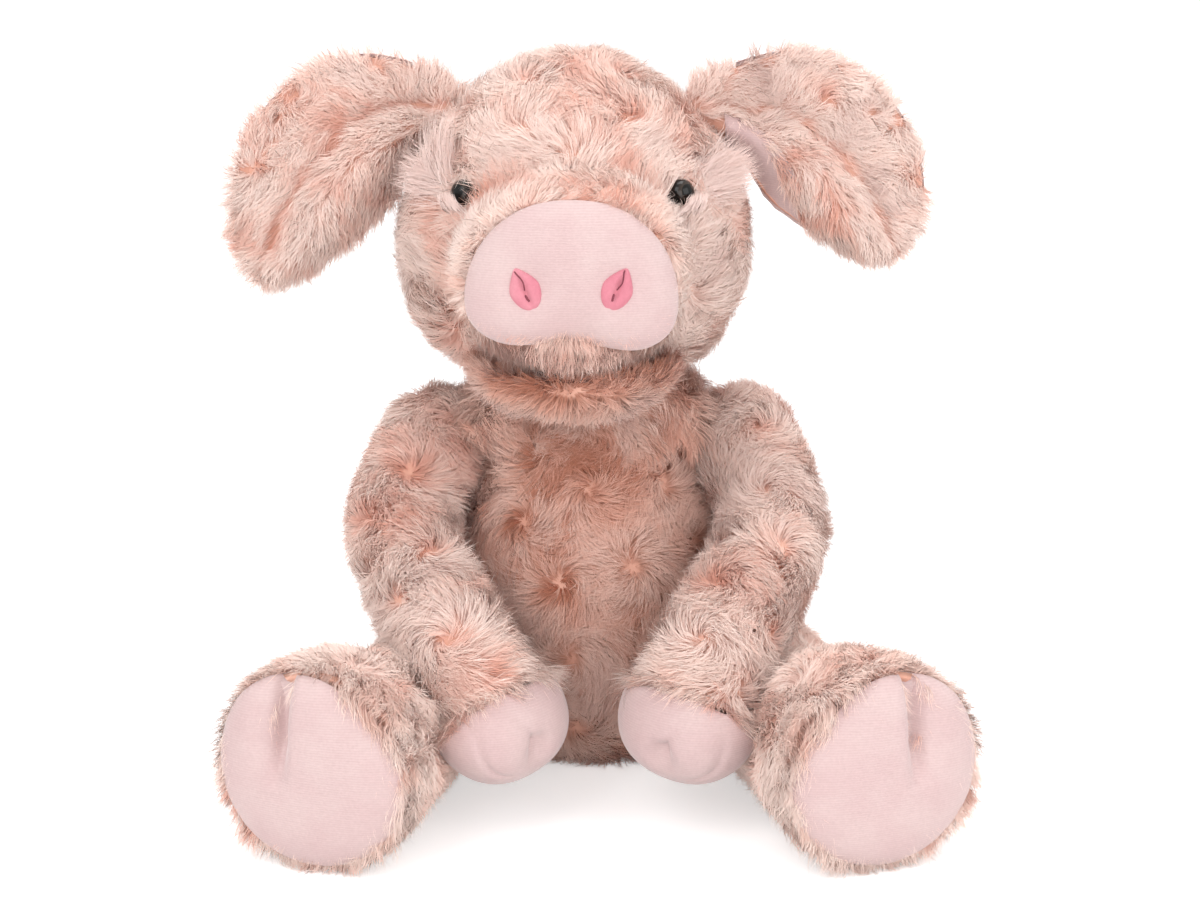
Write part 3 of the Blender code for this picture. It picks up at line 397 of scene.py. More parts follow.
def ellipsoid_form(centre, sizes, top=None, rows=24, facets=48):
    """An egg with an optional level cut above which it is flattened."""
    rings = []
    for angle in np.pi * np.arange(1, rows) / rows:
        middle = centre - UP * sizes[2] * math.cos(angle)
        wide, deep = sizes[0] * math.sin(angle), sizes[1] * math.sin(angle)
        rings.append(ring_of(middle, (1, 0, 0), (0, 1, 0), wide, deep, facets))
    form = Form(rings, centre - UP * sizes[2], centre + UP * sizes[2])
    if top is not None:
        form.points[:, 2] = np.minimum(form.points[:, 2], top)
        form.measure()
    return form


# How deep points lie inside each form, in metres and roughly, for keeping strands out of the pieces beside them
def depth_in_torso(points):
    share = share_of(points[..., 2] / TORSO["height"])
    wide, deep, lean = (np.interp(share, TORSO_ROWS[:, 0], TORSO_ROWS[:, k]) for k in (1, 2, 3))
    x = (points[..., 0] - TORSO["slump"] * share) / (TORSO["width"] / 2 * wide)
    y = (points[..., 1] + TORSO["depth"] * lean) / (TORSO["depth"] / 2 * deep)
    depth = (1 - np.sqrt(x**2 + y**2)) * TORSO["depth"] / 2 * deep
    return np.minimum(depth, np.minimum(TORSO["height"] - points[..., 2], points[..., 2] + 0.01))


def depth_in_egg(points, centre, sizes):
    return (1 - np.linalg.norm((points - centre) / sizes, axis=-1)) * np.min(sizes)


def depth_in_head(points):
    return depth_in_egg(points, HEAD_CENTRE, HEAD_SIZE * (1.01, 1, 1))


def depth_in_tube(points, stations):
    """Depth inside a tube of round sections through stations."""
    stations = np.asarray(stations, float)
    best = np.full(points.shape[:-1], -1.0)
    for a, b in zip(stations, stations[1:]):
        axis = b[:3] - a[:3]
        share = share_of(np.sum((points - a[:3]) * axis, axis=-1) / np.sum(axis**2))
        near = a[:3] + share[..., None] * axis
        radius = a[3] + (b[3] - a[3]) * share
        best = np.maximum(best, radius - np.linalg.norm(points - near, axis=-1))
    return best


def link(name, data):
    obj = bpy.data.objects.new(name, data)
    bpy.context.collection.objects.link(obj)
    return obj


def make_mesh(name, points, faces):
    mesh = bpy.data.meshes.new(name)
    mesh.from_pydata(points.tolist(), [], faces.tolist())
    mesh.update()
    mesh.shade_smooth()
    return link(name, mesh)


def set_uv(mesh, uv):
    layer = mesh.uv_layers.new(name="OFBake")
    layer.data.foreach_set("uv", uv.astype(np.float32).ravel())


def strand_mesh(name, paths, facing, half_width, tones, seed):
    """One mesh of tapered ribbons along paths, shaded partly as the skin they stand on."""
    rng = np.random.default_rng(seed)
    count, points = paths.shape[:2]
    along = unit(np.gradient(paths, axis=1))
    twist = rng.normal(0, STRAND_ROLL, count)[:, None, None]
    flat = unit(np.cross(along, facing[:, None, :]))
    other = np.cross(flat, along)
    across = flat * np.cos(twist) + other * np.sin(twist)
    ribbon_normals = np.cross(across, along)
    across = across * (half_width * rng.uniform(0.7, 1.3, count))[:, None, None]
    corners = 2 * (points - 1) + 1
    verts = np.empty((count, corners, 3))
    normals = np.empty((count, corners, 3))
    shading = unit(facing[:, None, :] * SKIN_SHADING + ribbon_normals * (1 - SKIN_SHADING))
    taper = np.interp(np.linspace(0, 1, points), (0, 0.5, 1), TAPER_SHARES)
    for k in range(points - 1):
        verts[:, 2 * k] = paths[:, k] - across[:, k] * taper[k]
        verts[:, 2 * k + 1] = paths[:, k] + across[:, k] * taper[k]
        normals[:, 2 * k] = normals[:, 2 * k + 1] = shading[:, k]
    verts[:, -1] = paths[:, -1]
    normals[:, -1] = shading[:, -1]
    loops, starts, rows = [], [], []
    for k in range(points - 2):
        starts.append(len(loops))
        loops += [2 * k, 2 * k + 1, 2 * k + 3, 2 * k + 2]
        rows += [(0, k), (1, k), (1, k + 1), (0, k + 1)]
    starts.append(len(loops))
    loops += [2 * (points - 2), 2 * (points - 2) + 1, corners - 1]
    rows += [(0, points - 2), (1, points - 2), (0.5, points - 1)]
    per = len(loops)
    index = (np.array(loops)[None] + corners * np.arange(count)[:, None]).ravel()
    starts = (np.array(starts)[None] + per * np.arange(count)[:, None]).ravel()
    rows = np.array(rows, float)
    uv = np.empty((count, per, 2))
    uv[:, :, 0] = np.clip(np.broadcast_to(tones, count), 0.01, 0.99)[:, None] + (rows[None, :, 0] - 0.5) * 0.004
    uv[:, :, 1] = 0.02 + 0.96 * rows[None, :, 1] / (points - 1)
    mesh = bpy.data.meshes.new(name)
    mesh.vertices.add(count * corners)
    mesh.vertices.foreach_set("co", verts.astype(np.float32).ravel())
    mesh.loops.add(count * per)
    mesh.loops.foreach_set("vertex_index", index.astype(np.int32))
    mesh.polygons.add(len(starts))
    mesh.polygons.foreach_set("loop_start", starts.astype(np.int32))
    mesh.update(calc_edges=True)
    set_uv(mesh, uv)
    mesh.shade_smooth()
    mesh.normals_split_custom_set_from_vertices(normals.reshape(-1, 3).astype(np.float32))
    return link(name, mesh)


def dress(obj, body, slot, surface, nodes=(), fill=None):
    """Gives a piece its body and material, and hides the parts it replaces; slot and fill are not used."""
    obj.data.materials.clear()
    obj.data.materials.append(surface)
    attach(obj, body)
    if nodes:
        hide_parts(*nodes)


def add_piece(name, form, *details):
    dress(make_mesh(name, form.points, form.tris), *details)


def nearest(points, targets):
    tree = KDTree(len(targets))
    for i, target in enumerate(targets):
        tree.insert(target, i)
    tree.balance()
    return np.array([tree.find(point)[1] for point in points])


# Patches of the pile's other colours: place and radius in millimetres, and a shift of tone in hundredths, below zero
# towards taupe and above it towards salmon; the salmon patches high on the chest, under the chin, also paint its shade
PATCHES = np.array((
    (17, -70, 261, 11, -40), (37, -75, 228, 10, -38), (49, -60, 214, 9, -35), (-67, -60, 206, 9, -38),
    (-79, -30, 225, 10, -30), (-62, -60, 230, 8, 30), (-38, -50, 278, 10, 28), (-9, -40, 287, 10, 30),
    (-102, -25, 287, 11, -38), (-90, -35, 253, 9, 35), (-126, -35, 224, 10, 30), (62, -25, 286, 9, -38),
    (111, -35, 240, 9, -38), (82, -30, 284, 8, 28), (108, -35, 226, 9, 30), (-40, -50, 148, 16, 50),
    (-15, -55, 136, 10, 45), (-15, -70, 92, 12, -42), (4, -55, 136, 12, 45), (0, -60, 133, 20, 35),
    (-30, -60, 126, 10, 40), (22, -52, 140, 11, -40), (39, -40, 141, 10, -35), (26, -60, 116, 10, 40),
    (81, -40, 102, 8, -35), (-59, -40, 113, 9, -35), (-88, -30, 103, 7, 40), (-72, -80, 45, 10, 30),
    (-64, -80, 80, 8, -35), (42, -80, 84, 10, 30), (-66, -130, 4, 14, -40), (58, -110, 8, 20, -45),
)) / (1000, 1000, 1000, 1000, 100)


def tone_at(points, spread=1.0):
    """Which of the pile's colours grows at a place, from taupe at 0 through cream at a half to salmon at 1."""
    layers = ((0.034, 11), (0.017, 12), (0.008, 13))
    broad, mid, fine = (value_noise(points, size, seed) - 0.5 for size, seed in layers)
    hidden = 1 + np.clip(points[:, 1] / 0.03, 0, 0.8)
    tones = 0.50 + (broad * 0.42 * hidden + mid * 0.34 + fine * 0.24) * spread
    warp = np.stack([value_noise(points, 0.009, seed) for seed in (16, 17, 18)], 1) - 0.5
    away = np.linalg.norm((points + warp * 0.014)[:, None] - PATCHES[None, :, :3], axis=2) / PATCHES[:, 3]
    return share_of(tones + bell(away) @ PATCHES[:, 4])


def tone_limb(points):
    """The limbs and the head are more even than the belly."""
    return tone_at(points, 0.7)


def tone_foot(points):
    """The feet are palest on top; their taupe is damped with height and kept only low down, as painted shade
    underneath.
    """
    tones = tone_limb(points)
    return np.where(tones < 0.5, 0.5 + (tones - 0.5) * np.clip(1.4 - points[:, 2] / 0.03, 0.35, 1), tones)


def value_at(value, points):
    return value if np.isscalar(value) else value(points)


def grow(name, body, form, nodes, comb, surface, *, seed, blocked, fill=0.8, skin_slot="fur", inset=PILE,
         tone_of=tone_at, density=1.0, length=PILE_LENGTH, swirl=0.75, rise=1.0, tone_shift=0.0, lit=(0, 0, 0)):
    """Makes a skin under a form, and grows curly pile on it in pieces of a size that can be kept whole.

    Locks follow guides. A guide leans the way the pile is combed and turns about the nearest swirl, and the
    strands round it close in on its tip. None grows where blocked(roots, guides) is true. Length, swirl and rise
    are numbers or work on points, and lit turns the shading towards a side.
    """
    skin = form.shrunk(inset)
    add_piece(f"skin_{name}", skin, body, skin_slot, SKIN, nodes, fill)
    rng = np.random.default_rng(seed)
    area = skin.areas.sum()
    roots, normals = skin.scatter(int(area / GUIDE_SPACING**2), rng)
    count = len(roots)
    centres, _ = skin.scatter_evenly(SWIRL_SPACING, rng)
    handed = rng.choice((-1.0, 1.0), len(centres))
    which = nearest(roots, centres)
    away = tangential(roots - centres[which], normals)
    reach = np.linalg.norm(away, axis=1) / (SWIRL_SPACING * 0.62)
    away = unit(away)
    turn = np.radians(rng.uniform(*SWIRL_TURN_DEG, len(centres)))[which]
    round_swirl = away * np.cos(turn)[:, None] + np.cross(normals, away) * (handed[which] * np.sin(turn))[:, None]
    combed = unit(tangential(comb(roots, normals), normals))
    strength = np.broadcast_to(value_at(swirl, roots), count)[:, None]
    drift = np.stack([value_noise(roots, LOCK_SIZE, seed + k) for k in (1, 2, 3)], 1) - 0.5
    lean = combed * (1 - strength) + round_swirl * strength
    lean = lean + tangential(drift * LOCK_DRIFT + rng.normal(0, 0.05, (count, 3)), normals)
    lean = unit(lean)
    size = value_at(length, roots) * rng.uniform(0.92, 1.08, count) * (0.86 + 0.14 * share_of(reach))
    tossed = value_noise(roots, LOCK_SIZE, seed + 4) - 0.5
    puff = 0.74 + 0.45 * bell((reach - 0.5) / 0.36)
    upright = value_at(rise, roots) * puff * (1 + LOCK_TOSS * tossed + rng.normal(0, 0.05, count))
    curl = handed[which] * strength[:, 0] * rng.uniform(0.3, 1.0, len(centres))[which] + drift[:, 0] * 1.0
    curl += rng.normal(0, 0.08, count)
    side = np.cross(normals, lean)
    paths = [roots]
    for k, degrees in enumerate(RISE_DEG):
        angle = np.radians(np.clip(degrees * upright, -15, 85))
        sway = curl * (k + 0.5) / len(RISE_DEG)
        level = lean * np.cos(sway)[:, None] + side * np.sin(sway)[:, None]
        step = level * np.cos(angle)[:, None] + normals * np.sin(angle)[:, None]
        paths.append(paths[-1] + step * (size / len(RISE_DEG))[:, None])
    guides = np.stack(paths, 1)
    open_ground = ~blocked(roots, guides)
    tones = tone_of(roots) + rng.normal(0, 0.03, count) + tone_shift
    tones += (rng.uniform(-0.1, 0.40, len(centres))[which]) * bell(reach / 0.30)
    tones += (rng.uniform(-0.2, 0.35, len(centres))[which]) * share_of((reach - 0.75) / 0.35)
    mottled = share_of((value_noise(roots, 0.018, 14) - 0.58) / 0.12)
    tones += mottled * (value_noise(roots, 0.003, 15) * 0.45 - 0.08)

    total = int(area * 1e6 * STRANDS_PER_MM2 * density)
    points, ways = skin.scatter(total, rng)
    own = nearest(points, roots)
    keep = open_ground[own]
    points, ways, own = points[keep], ways[keep], own[keep]
    total = len(points)
    scale = rng.uniform(0.78, 1.08, total)[:, None, None]
    clump = CLUMP_SHARES[None, :, None]
    growth = (guides[own] - roots[own][:, None]) * scale
    strands = points[:, None] * (1 - clump) + roots[own][:, None] * clump + growth
    wander = np.linspace(0, 1, STRAND_POINTS)[None, :, None]**1.5
    strands = strands + rng.normal(0, 1, (total, 1, 3)) * FRIZZ * wander
    strands = strands + rng.normal(0, 1, (total, STRAND_POINTS, 3)) * FRIZZ * 0.35 * wander
    strands[:, 0] = points - ways * 0.0006
    strands[..., 2] = np.maximum(strands[..., 2], FLOOR_CLEARANCE)
    tones = tones[own] + rng.normal(0, 0.035, total)
    pieces = max(1, math.ceil(total / MOST_STRANDS))
    order = np.argsort(points[:, 2], kind="stable")
    for i, part in enumerate(np.array_split(order, pieces)):
        facing = unit(ways[part] + lit)
        piece = strand_mesh(f"fur_{name}_{i + 1}", strands[part], facing, STRAND_HALF_WIDTH, tones[part],
                            seed + i)
        dress(piece, body, "fur", surface)


def feed(tree, node, inputs):
    """Sets or links a node's inputs, by name or number."""
    for key, value in inputs.items():
        socket = node.inputs[key]
        if isinstance(value, bpy.types.NodeSocket):
            tree.links.new(value, socket)
        else:
            socket.default_value = value if np.isscalar(value) else (*value, 1)


def add(tree, kind, inputs=(), **settings):
    node = tree.nodes.new(kind)
    for key, value in settings.items():
        setattr(node, key, value)
    feed(tree, node, dict(inputs))
    return node


def new_material(name, roughness, sheen=0.0, tint=(1, 1, 1)):
    surface = bpy.data.materials.new(name)
    surface.use_nodes = True
    tree = surface.node_tree
    shader = tree.nodes["Principled BSDF"]
    feed(tree, shader, {"Roughness": roughness, "Specular IOR Level": 0.25, "Sheen Weight": sheen,
                        "Sheen Roughness": 0.45, "Sheen Tint": tint})
    return surface, tree, shader


def rgb(text):
    """A linear colour from a six-figure sRGB one."""
    values = [int(text[i:i + 2], 16) / 255 for i in (0, 2, 4)]
    return tuple(v / 12.92 if v <= 0.04045 else ((v + 0.055) / 1.055)**2.4 for v in values)


def ramp(tree, source, places, colours):
    node = add(tree, "ShaderNodeValToRGB", {"Fac": source})
    elements = node.color_ramp.elements
    while len(elements) < len(places):
        elements.new(0.5)
    for element, place, colour in zip(elements, places, colours):
        element.position = place
        element.color = (*colour, 1)
    return node.outputs["Color"]


def blend_colours(tree, factor, a, b, mode="MIX"):
    node = add(tree, "ShaderNodeMix", {"Factor": factor, 6: a, 7: b}, data_type="RGBA", blend_type=mode)
    return node.outputs[2]


def uv_parts(tree):
    """The two coordinates of the pieces' map as X and Y."""
    place = add(tree, "ShaderNodeUVMap", uv_map="OFBake")
    return add(tree, "ShaderNodeSeparateXYZ", {"Vector": place.outputs["UV"]}).outputs


def fur_material(name, tips, roots):
    """Colour by tone along one coordinate of the map, and from root to tip along the other; the darker, warmer roots
    are painted shade deep in the pile.
    """
    surface, tree, shader = new_material(name, 0.8, sheen=0.35, tint=(1.0, 0.93, 0.9))
    split = uv_parts(tree)
    tips, roots = (ramp(tree, split["X"], stops, map(rgb, colours.split()))
                   for stops, colours in ((TIP_STOPS, tips), (ROOT_STOPS, roots)))
    height = add(tree, "ShaderNodeMapRange", {"From Min": 0.15, "From Max": 0.75, "Value": split["Y"]},
                 interpolation_type="SMOOTHSTEP")
    feed(tree, shader, {"Base Color": blend_colours(tree, height.outputs["Result"], roots, tips)})
    return surface


def cloth_material(name, colour, other, roughness=0.9, sheen=0.5, scale=900.0, ribs=0.0):
    """Short nap: soft changes of colour with a fine grain in the surface."""
    surface, tree, shader = new_material(name, roughness, sheen=sheen, tint=(1, 0.97, 0.96))
    place = add(tree, "ShaderNodeTexCoord").outputs["Object"]
    cloud = add(tree, "ShaderNodeTexNoise", {"Vector": place, "Scale": 60.0, "Detail": 3.0})
    grain = add(tree, "ShaderNodeTexNoise", {"Vector": place, "Scale": scale, "Detail": 2.0})
    height = grain.outputs["Fac"]
    soft = ramp(tree, cloud.outputs["Fac"], (0.35, 0.65), (rgb(colour), rgb(other)))
    fine = ramp(tree, height, (0.3, 0.7), ((0.90, 0.88, 0.88), (1.0, 1.0, 1.0)))
    colour = blend_colours(tree, 0.7, soft, fine, "MULTIPLY")
    if ribs:
        waves = {"Vector": place, "Scale": ribs, "Distortion": 1.2, "Detail Scale": 0.4}
        rib = add(tree, "ShaderNodeTexWave", waves, bands_direction="Z").outputs["Fac"]
        total = add(tree, "ShaderNodeMath", {0: rib, 1: 0.6, 2: height}, operation="MULTIPLY_ADD")
        height = total.outputs["Value"]
        # The ribs' troughs are a little darker: painted shade along the ribs.
        shade = ramp(tree, rib, (0.0, 0.6), ((0.95, 0.92, 0.92), (1.0, 1.0, 1.0)))
        colour = blend_colours(tree, 1.0, colour, shade, "MULTIPLY")
    relief = add(tree, "ShaderNodeBump", {"Strength": 0.25, "Distance": 0.0003, "Height": height})
    feed(tree, shader, {"Base Color": colour, "Normal": relief.outputs["Normal"]})
    return surface


# Colours from taupe through peach and cream to salmon: the pile's tips, then its roots, which are darker and warmer as
# painted shade deep in the pile
FUR = fur_material("fur pile", "dfc2b9 e9ccc2 f6dcd2 fee8de f9d8cb f5c8b9 ebb09c",
                   "cdaaa0 e5bfb3 f7d3c6 f2c0b0 e2a08b")
DEEP_FUR = fur_material("fur pile, belly", "b99c95 caa99f e4bcaf f2cfc1 edbdab dfa48f c27f66",
                        "987a72 bf9080 d8a28e cb8b74 a25c45")
SKIN = cloth_material("fur backing", "e0a893", "eab8a4", roughness=0.95, sheen=0.0, scale=500.0)
VELOUR = cloth_material("velour", "cfb4b3", "d3bbb9", ribs=330.0)
NOSTRIL = cloth_material("nostril pink", "cf7f8d", "da949e", sheen=0.2)
CREASE_SHADE = cloth_material("nostril crease shade", "7d3f4b", "8c4c56", sheen=0.1)
LINING_SHADE = cloth_material("mouth lining", "4a2a22", "5c382e", sheen=0.1)

legs = {side: leg_stations(side) for side in SIDES}
arms = {side: catmull(arm_corners(side), 8) for side in SIDES}


def past_leg(points, side):
    """How far points lie beyond the plane where the sole begins."""
    hip, along = leg_axis(side)
    return np.sum((points - hip) * along, axis=-1) - LEG_LENGTH


def comb_down(points, normals):
    return DOWN + FORWARD * 0.1


def build_torso():
    form = torso_form()
    high = bell((form.points[:, 2] - 0.142) / 0.015)
    form.points[:, 0] += SHOULDER_FULLNESS * high * np.clip(form.points[:, 0] / 0.030, -1, 1)
    form.measure()

    def blocked(roots, guides):
        hidden = np.zeros(len(roots), bool)
        for side in SIDES:
            hidden |= depth_in_tube(roots, arms[side]) > 0.013
            hidden |= depth_in_tube(roots, legs[side]) > 0.014
        hidden |= depth_in_head(roots) > 0.003
        hidden |= (roots[:, 2] < 0.012) & (depth_in_torso(roots) > 0.020)
        return hidden

    def shoulder_share(points):
        return share_of((points[:, 2] - 0.120) / 0.022) * share_of(np.abs(points[:, 0]) / 0.020 - 0.6)

    def comb(points, normals):
        aside = np.stack((np.sign(points[:, 0]), np.zeros(len(points)), np.full(len(points), 0.4)), 1)
        share = shoulder_share(points)[:, None]
        return comb_down(points, normals) * (1 - share) + aside * share

    grow("torso", "torso", form, ("torso_cover", "torso_stuffing", "seat_bead_bag"), comb, DEEP_FUR,
         blocked=blocked, tone_shift=-0.03, seed=20,
         rise=lambda points: 1 + 0.5 * shoulder_share(points),
         length=lambda points: PILE_LENGTH + 0.0075 * shoulder_share(points))


def build_head():
    def comb(points, normals):
        low = share_of((HEAD_CENTRE[2] - points[:, 2:] - 0.015) / 0.020)
        return unit(points - SNOUT_CENTRE) + DOWN * (0.25 + 1.2 * low)

    def swirl(points):
        return np.clip(0.42 + (points[:, 1] - HEAD_CENTRE[1] + 0.05) / 0.08, 0.42, 0.75)

    def blocked(roots, guides):
        x, y, z = (roots - MUZZLE_CENTRE).T
        inside = (x / (MUZZLE_ROOT_SIZE[0] - 0.010))**2 + (z / (MUZZLE_ROOT_SIZE[1] - 0.010))**2 < 1
        hidden = inside & (y < 0)
        hidden |= depth_in_egg(roots, NECK_CENTRE, np.full(3, NECK_RADIUS - 0.006)) > 0
        hidden |= depth_in_torso(roots) > 0.004
        for side in SIDES:
            eye, _ = eye_place(side)
            hidden |= np.linalg.norm(roots - eye, axis=1) < 0.0060
            hidden |= np.any(np.linalg.norm(guides[:, 1:] - eye, axis=2) < 0.0036, axis=1)
        return hidden

    grow("head", "head", head_form(), ("head_cover", "head_stuffing", "eye_washer_l", "eye_washer_r"), comb, FUR,
         blocked=blocked, swirl=swirl, tone_of=tone_limb, seed=40,
         length=lambda points: PILE_LENGTH + 0.0035 * share_of((HEAD_CENTRE[2] - points[:, 2] - 0.025) / 0.015))


def build_muzzle():
    def comb(points, normals):
        x, _, z = (points - MUZZLE_CENTRE).T
        outward = np.stack((x, np.zeros_like(x), z), 1)
        under = share_of(-normals[:, 2:] * 2 - 0.6)
        return (unit(outward) * 0.6 - FORWARD) * (1 - under) + (FORWARD + DOWN) * under

    def lip(points):
        return share_of((MUZZLE_CENTRE[2] - points[:, 2]) / 0.012 - 1)

    def blocked(roots, guides):
        front = roots[:, 1] < SNOUT_CENTRE[1] + 0.0035 - 0.0030 * lip(roots)
        return front | (depth_in_head(roots) > 0.004)

    grow("muzzle", "head", muzzle_form(), ("muzzle",), comb, FUR, blocked=blocked, density=1.2, seed=60,
         tone_of=lambda points: tone_limb(points) + 0.20 * lip(points),
         swirl=lambda points: 0.55 - 0.45 * lip(points), rise=lambda points: 1 + 3.5 * lip(points),
         length=lambda points: 0.0105 + 0.0050 * lip(points))


def build_jaw():
    def height_on_chin(points):
        return share_of((points[:, 2] - MOUTH_HEIGHT + 0.009) / 0.007)

    def rim_of_chin(points):
        corner = bell((points[:, 0] - JAW_CENTRE[0] + 0.019) / 0.010)
        return height_on_chin(points) * (1 - corner)

    def comb(points, normals):
        """The pile lies down and apart on the chin, and out and up along the mouth."""
        across, ahead, _ = (points - JAW_CENTRE).T
        rim = rim_of_chin(points)
        parted = 0.5 * np.tanh(across / 0.006) - 10 * across * (1 - rim) + 25 * across * rim
        return np.stack((parted, 0.45 * (1 - rim) + 25 * ahead * rim, 2.0 * rim - 1.0), 1)

    def blocked(roots, guides):
        on_top = roots[:, 2] > MOUTH_HEIGHT - 0.0012
        across, ahead, _ = np.abs(roots - JAW_CENTRE).T
        inner = (across / 0.031)**2 + (ahead / 0.024)**2 < 1
        return (depth_in_head(roots) > 0.006) | (on_top & inner)

    form = ellipsoid_form(JAW_CENTRE, JAW_SIZE, MOUTH_HEIGHT + PILE - 0.001)
    # The chin takes the darker belly ramp and turns browner towards the mouth: painted shade under the snout, deepest
    # just below the lip.
    grow("jaw", "head", form, ("jaw",), comb, DEEP_FUR,
         fill=0.5, blocked=blocked, swirl=0.35, density=1.3, seed=70,
         length=lambda points: 0.0112 - 0.0034 * rim_of_chin(points),
         rise=lambda points: 0.95 - 0.35 * height_on_chin(points),
         tone_of=lambda points: 0.34 + 1.1 * (tone_limb(points) - 0.5) + 0.40 * height_on_chin(points))


def build_lip():
    """The upper lip: pile that hangs from the edge of the muzzle, under the notch of the snout."""
    middle = np.array((HEAD_CENTRE[0] + 0.001, SNOUT_CENTRE[1] + 0.0085, 0.1920))
    grow("lip", "head", ellipsoid_form(middle, LIP_SIZE), (), comb_down, FUR,
         fill=0.5, inset=0.0, swirl=0.25, rise=0.9, density=1.3, seed=75,
         length=lambda points: 0.0085 - 0.0035 * share_of(np.abs(points[:, 0] - middle[0]) / 0.020),
         tone_of=lambda points: 0.70 + 0.4 * (value_noise(points, 0.006, 19) - 0.5),
         blocked=lambda roots, guides: roots[:, 1] > middle[1] + 0.002)


def head_surface(out, rise):
    """The point on the head's front at a distance out and above its centre, and the way out there."""
    angle = math.acos(-rise / HEAD_SIZE[2])
    half = HEAD_SIZE[0] * math.sin(angle) * (1 + CHEEK_SHARE * math.cos(angle))
    out = min(max(out, -0.98 * half), 0.98 * half)
    back = -HEAD_SIZE[1] * math.sin(angle) * math.sqrt(1 - (out / half)**2)
    place = np.array((out, back, rise))
    return HEAD_CENTRE + place, unit(place / HEAD_SIZE**2)


def eye_place(side):
    return head_surface(SIDES[side][1] * EYE_OUT, EYE_RISE)


def frame_facing(origin, towards):
    """Columns for a frame whose third axis points a given way and whose first is level."""
    forward = unit(np.asarray(towards, float))
    level = unit(np.cross(UP, forward))
    return np.asarray(origin, float), np.stack((level, np.cross(forward, level), forward), 1)


def at_height(flat, height):
    return np.hstack((flat, np.broadcast_to(height, len(flat))[:, None]))


def pad(outline, height, frame_of, rows=26):
    """A crowned pad from its outline and a height for each place on it and its share of the way out."""
    origin, axes = frame_of
    rings = [at_height(outline * 0.93, -0.0015)]
    for share in np.cos(np.pi / 2 * np.arange(rows) / rows):
        flat = outline * share
        rings.append(at_height(flat, height(flat, np.full(len(outline), share))))
    top = np.array((0, 0, height(np.zeros((1, 2)), np.zeros(1))[0]))
    rings = [origin + ring @ axes.T for ring in rings]
    return Form(rings, origin + axes @ (0, 0, -0.0015), origin + axes @ top)


def bean(half_width, half_height, facets=96, notch=0.0, dip=0.0, notch_deg=24.0, low=0.0, square=2.0):
    """An oval with a notch below and a dip above, widest below its middle and squarer there than an ellipse."""
    angle = 2 * np.pi * (np.arange(facets) + 0.5) / facets
    top, bottom = (np.degrees(turn_between(angle, heading)) / notch_deg for heading in (np.pi / 2, -np.pi / 2))
    pull = 1 - dip * bell(top) - notch * bell(bottom)
    x, y = np.cos(angle), np.sin(angle)
    power = np.where(y < 0, 2 / square, 1.0)
    x, y = np.sign(x) * np.abs(x)**power, np.sign(y) * np.abs(y)**power
    return np.stack((half_width * x, half_height * (y * pull * (1 + low * np.sign(y)) - low)), 1)


def dent(flat, place, half_width, depth):
    return -depth * np.exp(-np.sum((flat - place)**2, axis=1) / half_width**2)


